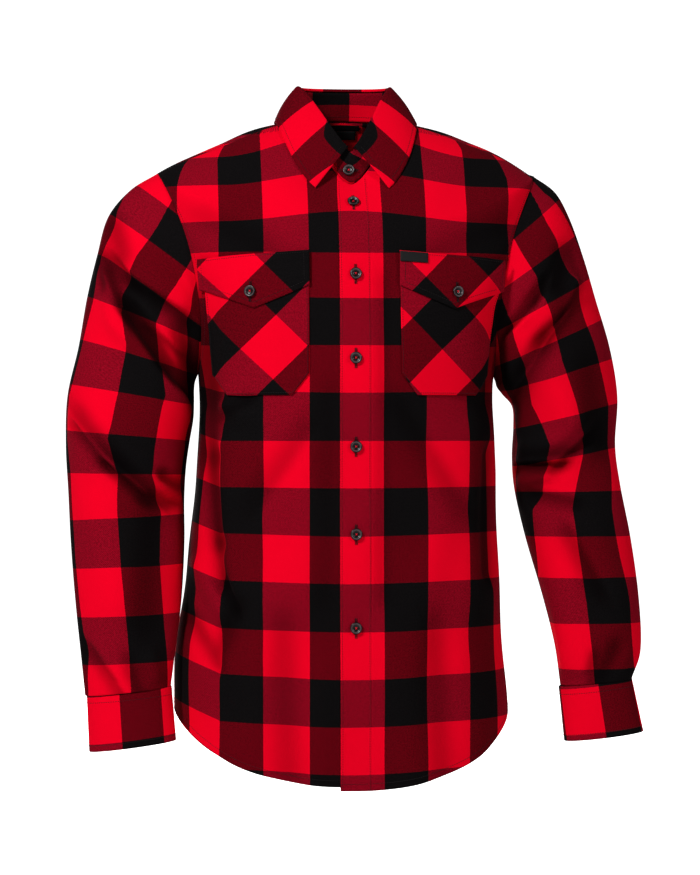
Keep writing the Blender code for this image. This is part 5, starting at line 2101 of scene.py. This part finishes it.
@dataclass
class Buttons:
    """Turned buttons with a raised rim, a dished middle, a crossed thread and their holes.

    The profile's rows hold a share of the radius, of the thickness and of the painted
    highlight on the rim.
    """

    finishes: Finishes
    profile: tuple = (
        (0.80, 0.0, 0.0), (0.97, 0.3, 0.0), (1.0, 0.6, 0.0), (0.98, 0.82, 0.0),
        (0.92, 0.95, 0.0), (0.86, 1.0, 0.4), (0.76, 0.97, 1.0), (0.66, 0.8, 0.8),
        (0.57, 0.55, 0.1), (0.40, 0.42, 0.0), (0.12, 0.4, 0.0), (0.01, 0.4, 0.0),
    )
    sides: int = 48
    thread_reach: float = 2.0
    hole_reach: float = 12.0
    hole_half: float = 0.9    # half its width
    hole_low: float = 0.45    # how far its stitches lie below the button's seat

    def seats(self) -> list[Seat]:
        """Find every button's place.

        Returns:
            The seats.
        """
        found = []
        heights = np.array(FRONT_BUTTON_HEIGHTS, float)
        angle, v = BODY.locate(0.5, heights)
        points, normals = BODY.point(angle, v), BODY.normal(angle, v)
        for number, (point, normal) in enumerate(zip(points, normals), start=1):
            point = point + normal * (LAP + LIE)
            found.append(Seat(f"button_front_{number}", point, normal, 0.0))
        angle, t = np.array(-STAND_BUTTON_ANGLE), np.array(0.42)
        normal = COLLAR.stand_normal(angle, t)
        point = COLLAR.stand(angle, t) + normal * (STAND_LAP + 0.6)
        found.append(Seat("button_stand", point, normal, 90.0))
        x, z = np.array([POCKET_BUTTON_X]), np.array([POCKET_BUTTON_Z])
        turn, t = np.array(CUFF_OPENING + CUFF_LAP / 2), np.array(0.5)
        for side in (-1, 1):
            hand, cuff = HALVES[side].hand, Cuff(side)
            pocket = ChestPocket(side, self.finishes)
            point, normal = pocket.on_front(x, z, [3 * LIE + 2 * WALL])
            found.append(Seat("button_pocket_" + hand, point[0], normal[0], 0.0))
            normal = cuff.normal(turn, t)
            point = cuff.point(turn, t) + normal * (LAP + LIE)
            found.append(Seat("button_cuff_" + hand, point, normal, 90.0, 0.9))
        return found

    def build(self) -> None:
        """Turn each button."""
        turn = np.linspace(0, 2 * np.pi, self.sides, endpoint=False)[:, None]
        radius, high, painted_rim_highlight = (column[:, None, None] for column in np.array(self.profile).T)
        index = np.arange(len(radius) * self.sides).reshape(-1, self.sides)
        faces = Patch.quads(np.concatenate((index, index[:, :1]), axis=1), True)
        for seat in self.seats():
            right, up = seat.axes()
            rim = (np.cos(turn) * right + np.sin(turn) * up) * BUTTON_RADIUS * seat.size
            rings = seat.point + rim * radius + seat.normal * BUTTON_THICK * high
            name = seat.node.replace("button", "shown_button")
            item = make_mesh(name, rings.reshape(-1, 3) * MM, faces, self.finishes.button)
            # Painted highlight: the profile's third column greys the raised rim.
            add_shade(item, "rim", np.repeat(painted_rim_highlight, self.sides))
            shown(item, seat.node)

    def dress(self) -> None:
        """Thread each button and work its hole."""
        crosses, holes = [], []
        cross_at, hole_at = np.linspace(-1, 1, 7)[:, None], np.linspace(-1, 1, 21)[:, None]
        for seat in self.seats():
            right, up = seat.axes()
            middle = seat.point + seat.normal * BUTTON_THICK * 0.5
            for way in (right + up, right - up):
                run = unit(way) * cross_at * self.thread_reach
                crosses.append(Line(middle + run, seat.normal + 0 * cross_at))
            turned = math.radians(seat.hole)
            run = up * math.cos(turned) + right * math.sin(turned)
            low = seat.point - seat.normal * self.hole_low
            for beside in (-self.hole_half, self.hole_half):
                start = low + np.cross(run, seat.normal) * beside
                points = start + run * hole_at * self.hole_reach * seat.size
                holes.append(Line(points, seat.normal + 0 * hole_at))
        cross = Sewing(tuple(crosses), pitch=4.0, share=0.95, radius=0.55)
        edge = Sewing(tuple(holes), pitch=1.3, share=1.2, radius=0.55)
        cross.build("button_threads", self.finishes.red_thread)
        edge.build("buttonholes", self.finishes.thread)


# ================================================================ studio
@dataclass(frozen=True)
class Studio:
    """Pale floor, soft lights and the camera."""

    distance: float = 3.5
    azimuth: float = -4.8
    level: float = -0.377
    per_pixel: float = 0.001205   # metres a pixel at the shirt
    pixels: int = 875             # on the frame's long side
    shift: int = 4                # pixels from the frame's middle to the shirt's
    floor: float = -0.93

    def soft_light(self, name: str, place: tuple, size: float, power: float) -> None:
        """A square area light aimed at the shirt's middle.

        Args:
            name: Its name.
            place: Where it stands, in metres.
            size: Its side, in metres.
            power: Its power in watts.
        """
        light = bpy.data.lights.new(name, "AREA")
        light.size, light.energy = size, power
        item = bpy.data.objects.new(name, light)
        bpy.context.scene.collection.objects.link(item)
        item.location = place
        aim = Vector((0, 0, -0.4)) - item.location
        item.rotation_euler = aim.to_track_quat("-Z", "Y").to_euler()

    def lift(
        self, tree: bpy.types.NodeTree, socket: Socket, low: float, seen: float
    ) -> None:
        """Give a strength one value for light and another where the camera sees it.

        Args:
            tree: The node tree.
            socket: The strength's socket.
            low: Its value for light.
            seen: Its value to the camera.
        """
        path = tree.nodes.new("ShaderNodeLightPath")
        mix = tree.nodes.new("ShaderNodeMapRange")
        mix.inputs[3].default_value, mix.inputs[4].default_value = low, seen
        tree.links.new(path.outputs["Is Camera Ray"], mix.inputs[0])
        tree.links.new(mix.outputs[0], socket)

    def paper(self) -> Material:
        """White paper that looks evenly lit wherever it is seen.

        Returns:
            The new material.
        """
        nodes = Nodes("white_paper")
        nodes.set(Base_Color=srgb("f2f2f2"), Roughness=0.9, Emission_Color=srgb("ffffff"))
        self.lift(nodes.tree, nodes.shader.inputs["Emission Strength"], 0.0, 1.0)
        return nodes.material

    def room(self) -> None:
        """Floor, world and lights."""
        bpy.ops.mesh.primitive_plane_add(size=14, location=(0, 0, self.floor))
        floor = bpy.context.object
        floor.name = "floor"
        floor.data.materials.append(self.paper())
        world = bpy.data.worlds.new("soft_room")
        bpy.context.scene.world = world
        world.use_nodes = True
        background = world.node_tree.nodes["Background"]
        background.inputs[0].default_value = (1, 1, 1, 1)
        self.lift(world.node_tree, background.inputs[1], 0.09, 1.0)
        self.soft_light("key", (-1.5, -1.8, 1.2), 0.35, 47)
        self.soft_light("fill", (2.0, -2.2, 0.7), 0.6, 19)
        self.soft_light("rim", (0.4, 2.4, 1.6), 1.6, 6)
        self.soft_light("behind", (-0.9, 3.0, 0.3), 1.0, 40)

    def build(self) -> None:
        """The room, then the camera."""
        self.room()
        scene = bpy.context.scene
        camera = bpy.data.cameras.new("camera")
        camera.sensor_width = 36
        camera.lens = 36 * self.distance / (self.per_pixel * self.pixels)
        camera.shift_x = self.shift / self.pixels
        item = bpy.data.objects.new("camera", camera)
        scene.collection.objects.link(item)
        turn = math.radians(self.azimuth)
        item.location = self.distance * Vector((math.sin(turn), -math.cos(turn), 0))
        item.location.z = self.level
        item.rotation_euler = (math.pi / 2, 0, turn)
        scene.camera = item
        scene.view_settings.view_transform = "Standard"
        scene.view_settings.look = "Medium High Contrast"


def main() -> None:
    """Build the shirt piece by piece, then the room."""
    logging.basicConfig(level=logging.INFO, format="%(message)s")
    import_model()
    finishes = Finishes()
    parts = (
        Torso(finishes), Arm(-1, finishes), Arm(1, finishes), Neck(finishes),
        ChestPocket(-1, finishes), ChestPocket(1, finishes), Buttons(finishes),
    )
    for part in parts:
        part.build()
        part.dress()
        LOG.info("built %s", type(part).__name__)
    Studio().build()


if __name__ == "__main__":
    main()
